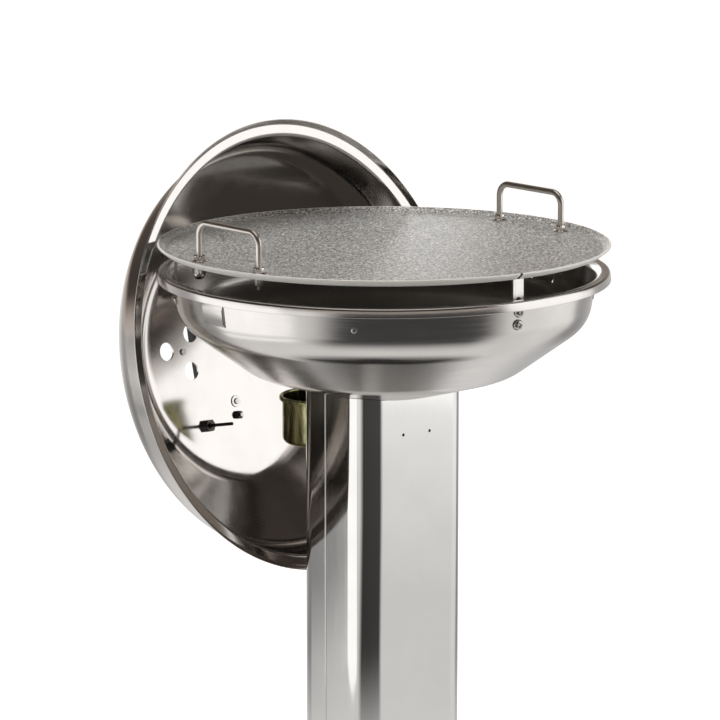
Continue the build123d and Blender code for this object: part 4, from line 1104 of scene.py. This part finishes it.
def makeFloor():
    s = stageSizes
    bm = bmesh.new()
    bmesh.ops.create_grid(bm, x_segments=1, y_segments=1, size=s["floorSize"] / 2 / mm)
    material, tree, spot = newMaterial("PaleFloor")
    rays = addNode(tree, "LightPath")
    mirrored = mirroredRays(tree, rays)
    reach = addNode(tree, "VectorMath", {0: spot}, operation="LENGTH")
    fade = {}
    for name, (start, end, first, last, blend) in floorFades.items():
        fade[name] = addNode(tree, "MapRange", {"Value": reach, "From Min": start, "From Max": end,
                "To Min": first, "To Max": last}, interpolation_type=blend)
    ringLight = ringValue(tree, spot, floorRing, fade["twist"])[0]
    distant = addNode(tree, "Mix", {"Factor": 1.0, "A": ringLight, "B": fade["rise"]},
            data_type="RGBA", blend_type="MULTIPLY")
    lit = addNode(tree, "Mix", {"Factor": fade["pool"], "A": distant, "B": fade["core"]},
            data_type="RGBA")
    # less glow near the base: the real shadow shows there, and the floor round the base is painted a soft
    # grey shade
    seenNear = addNode(tree, "Math", {0: fade["contact"], 1: fade["spread"]}, operation="MULTIPLY")
    seenDirect = addNode(tree, "Math", {0: rays.outputs["Is Camera Ray"], 1: seenNear},
            operation="MULTIPLY")
    # for rays off metal and glass the floor gives off painted light and shade: the ring by direction, a
    # darker core under the base, a brighter ring further out
    glow = addNode(tree, "Math", {0: lit, 1: mirrored, 2: seenDirect}, operation="MULTIPLY_ADD")
    light = addNode(tree, "Emission", {"Strength": glow})
    tone = addNode(tree, "Mix",
            {"Factor": mirrored, "A": linear(s["floorTone"]), "B": linear("#000000")}, data_type="RGBA")
    matt = addNode(tree, "BsdfDiffuse", {"Color": tone})
    both = addNode(tree, "AddShader", {0: matt, 1: light})
    addNode(tree, "OutputMaterial", {"Surface": both})
    floor = makeObject("PaleFloor", bm, material, recalc=False)


def makeRoom():
    s = stageSizes
    world = bpy.data.worlds.new("StudioWorld")
    scene.world = world
    world.use_nodes = True
    tree = world.node_tree
    tree.nodes.clear()
    rays = addNode(tree, "LightPath")
    seen = rays.outputs["Is Camera Ray"]
    mirrored = mirroredRays(tree, rays)
    way = addNode(tree, "TexCoord").outputs["Generated"]
    roomLight, height = ringValue(tree, way, roomRing)
    low = addNode(tree, "MapRange",
            {"Value": height, "From Min": s["horizonSpan"][0], "From Max": s["horizonSpan"][1],
            "To Min": s["horizon"], "To Max": s["roomDim"]}, interpolation_type="SMOOTHSTEP")
    wall = addNode(tree, "Math", {0: roomLight, 1: low}, operation="MAXIMUM")
    top = addNode(tree, "MapRange",
            {"Value": height, "From Min": s["topSpan"][0], "From Max": s["topSpan"][1],
            "To Max": s["topLight"]}, interpolation_type="SMOOTHSTEP")
    room = addNode(tree, "Math", {0: wall, 1: top}, operation="MAXIMUM")
    warm = addNode(tree, "MapRange",
            {"Value": room, "From Min": s["warmSpan"][0], "From Max": s["warmSpan"][1]})
    indirect = addNode(tree, "Mix", {"Factor": mirrored, "A": s["fill"], "B": room})
    strength = addNode(tree, "Mix", {"Factor": seen, "A": indirect, "B": s["backdrop"]})
    pale = addNode(tree, "Math", {0: warm, 1: seen}, operation="MAXIMUM")
    tint = addNode(tree, "Mix",
            {"Factor": pale, "A": linear(s["warmTone"]), "B": linear("#FFFFFF")}, data_type="RGBA")
    sky = addNode(tree, "Background", {"Color": tint, "Strength": strength})
    addNode(tree, "OutputWorld", {"Surface": sky})


def makeLamp():
    s = stageSizes
    data = bpy.data.lights.new("OverheadSoftBox", "AREA")
    data.shape = "RECTANGLE"
    data.size = data.size_y = s["lampSize"]
    data.energy = s["lamp"]
    lamp = bpy.data.objects.new("OverheadSoftBox", data)
    lamp.location = s["lampPlace"]
    lamp.rotation_euler = (radians(s["lampTilt"]), 0, 0)
    lamp.visible_glossy = False
    scene.collection.objects.link(lamp)


makeFloor()
makeRoom()
for name, values in softBoxes.items():
    makePanel(name, *values)
makeCard("RearCard", *rearCard)
makeLamp()
print("stage made")
scene.view_settings.view_transform = "Standard"
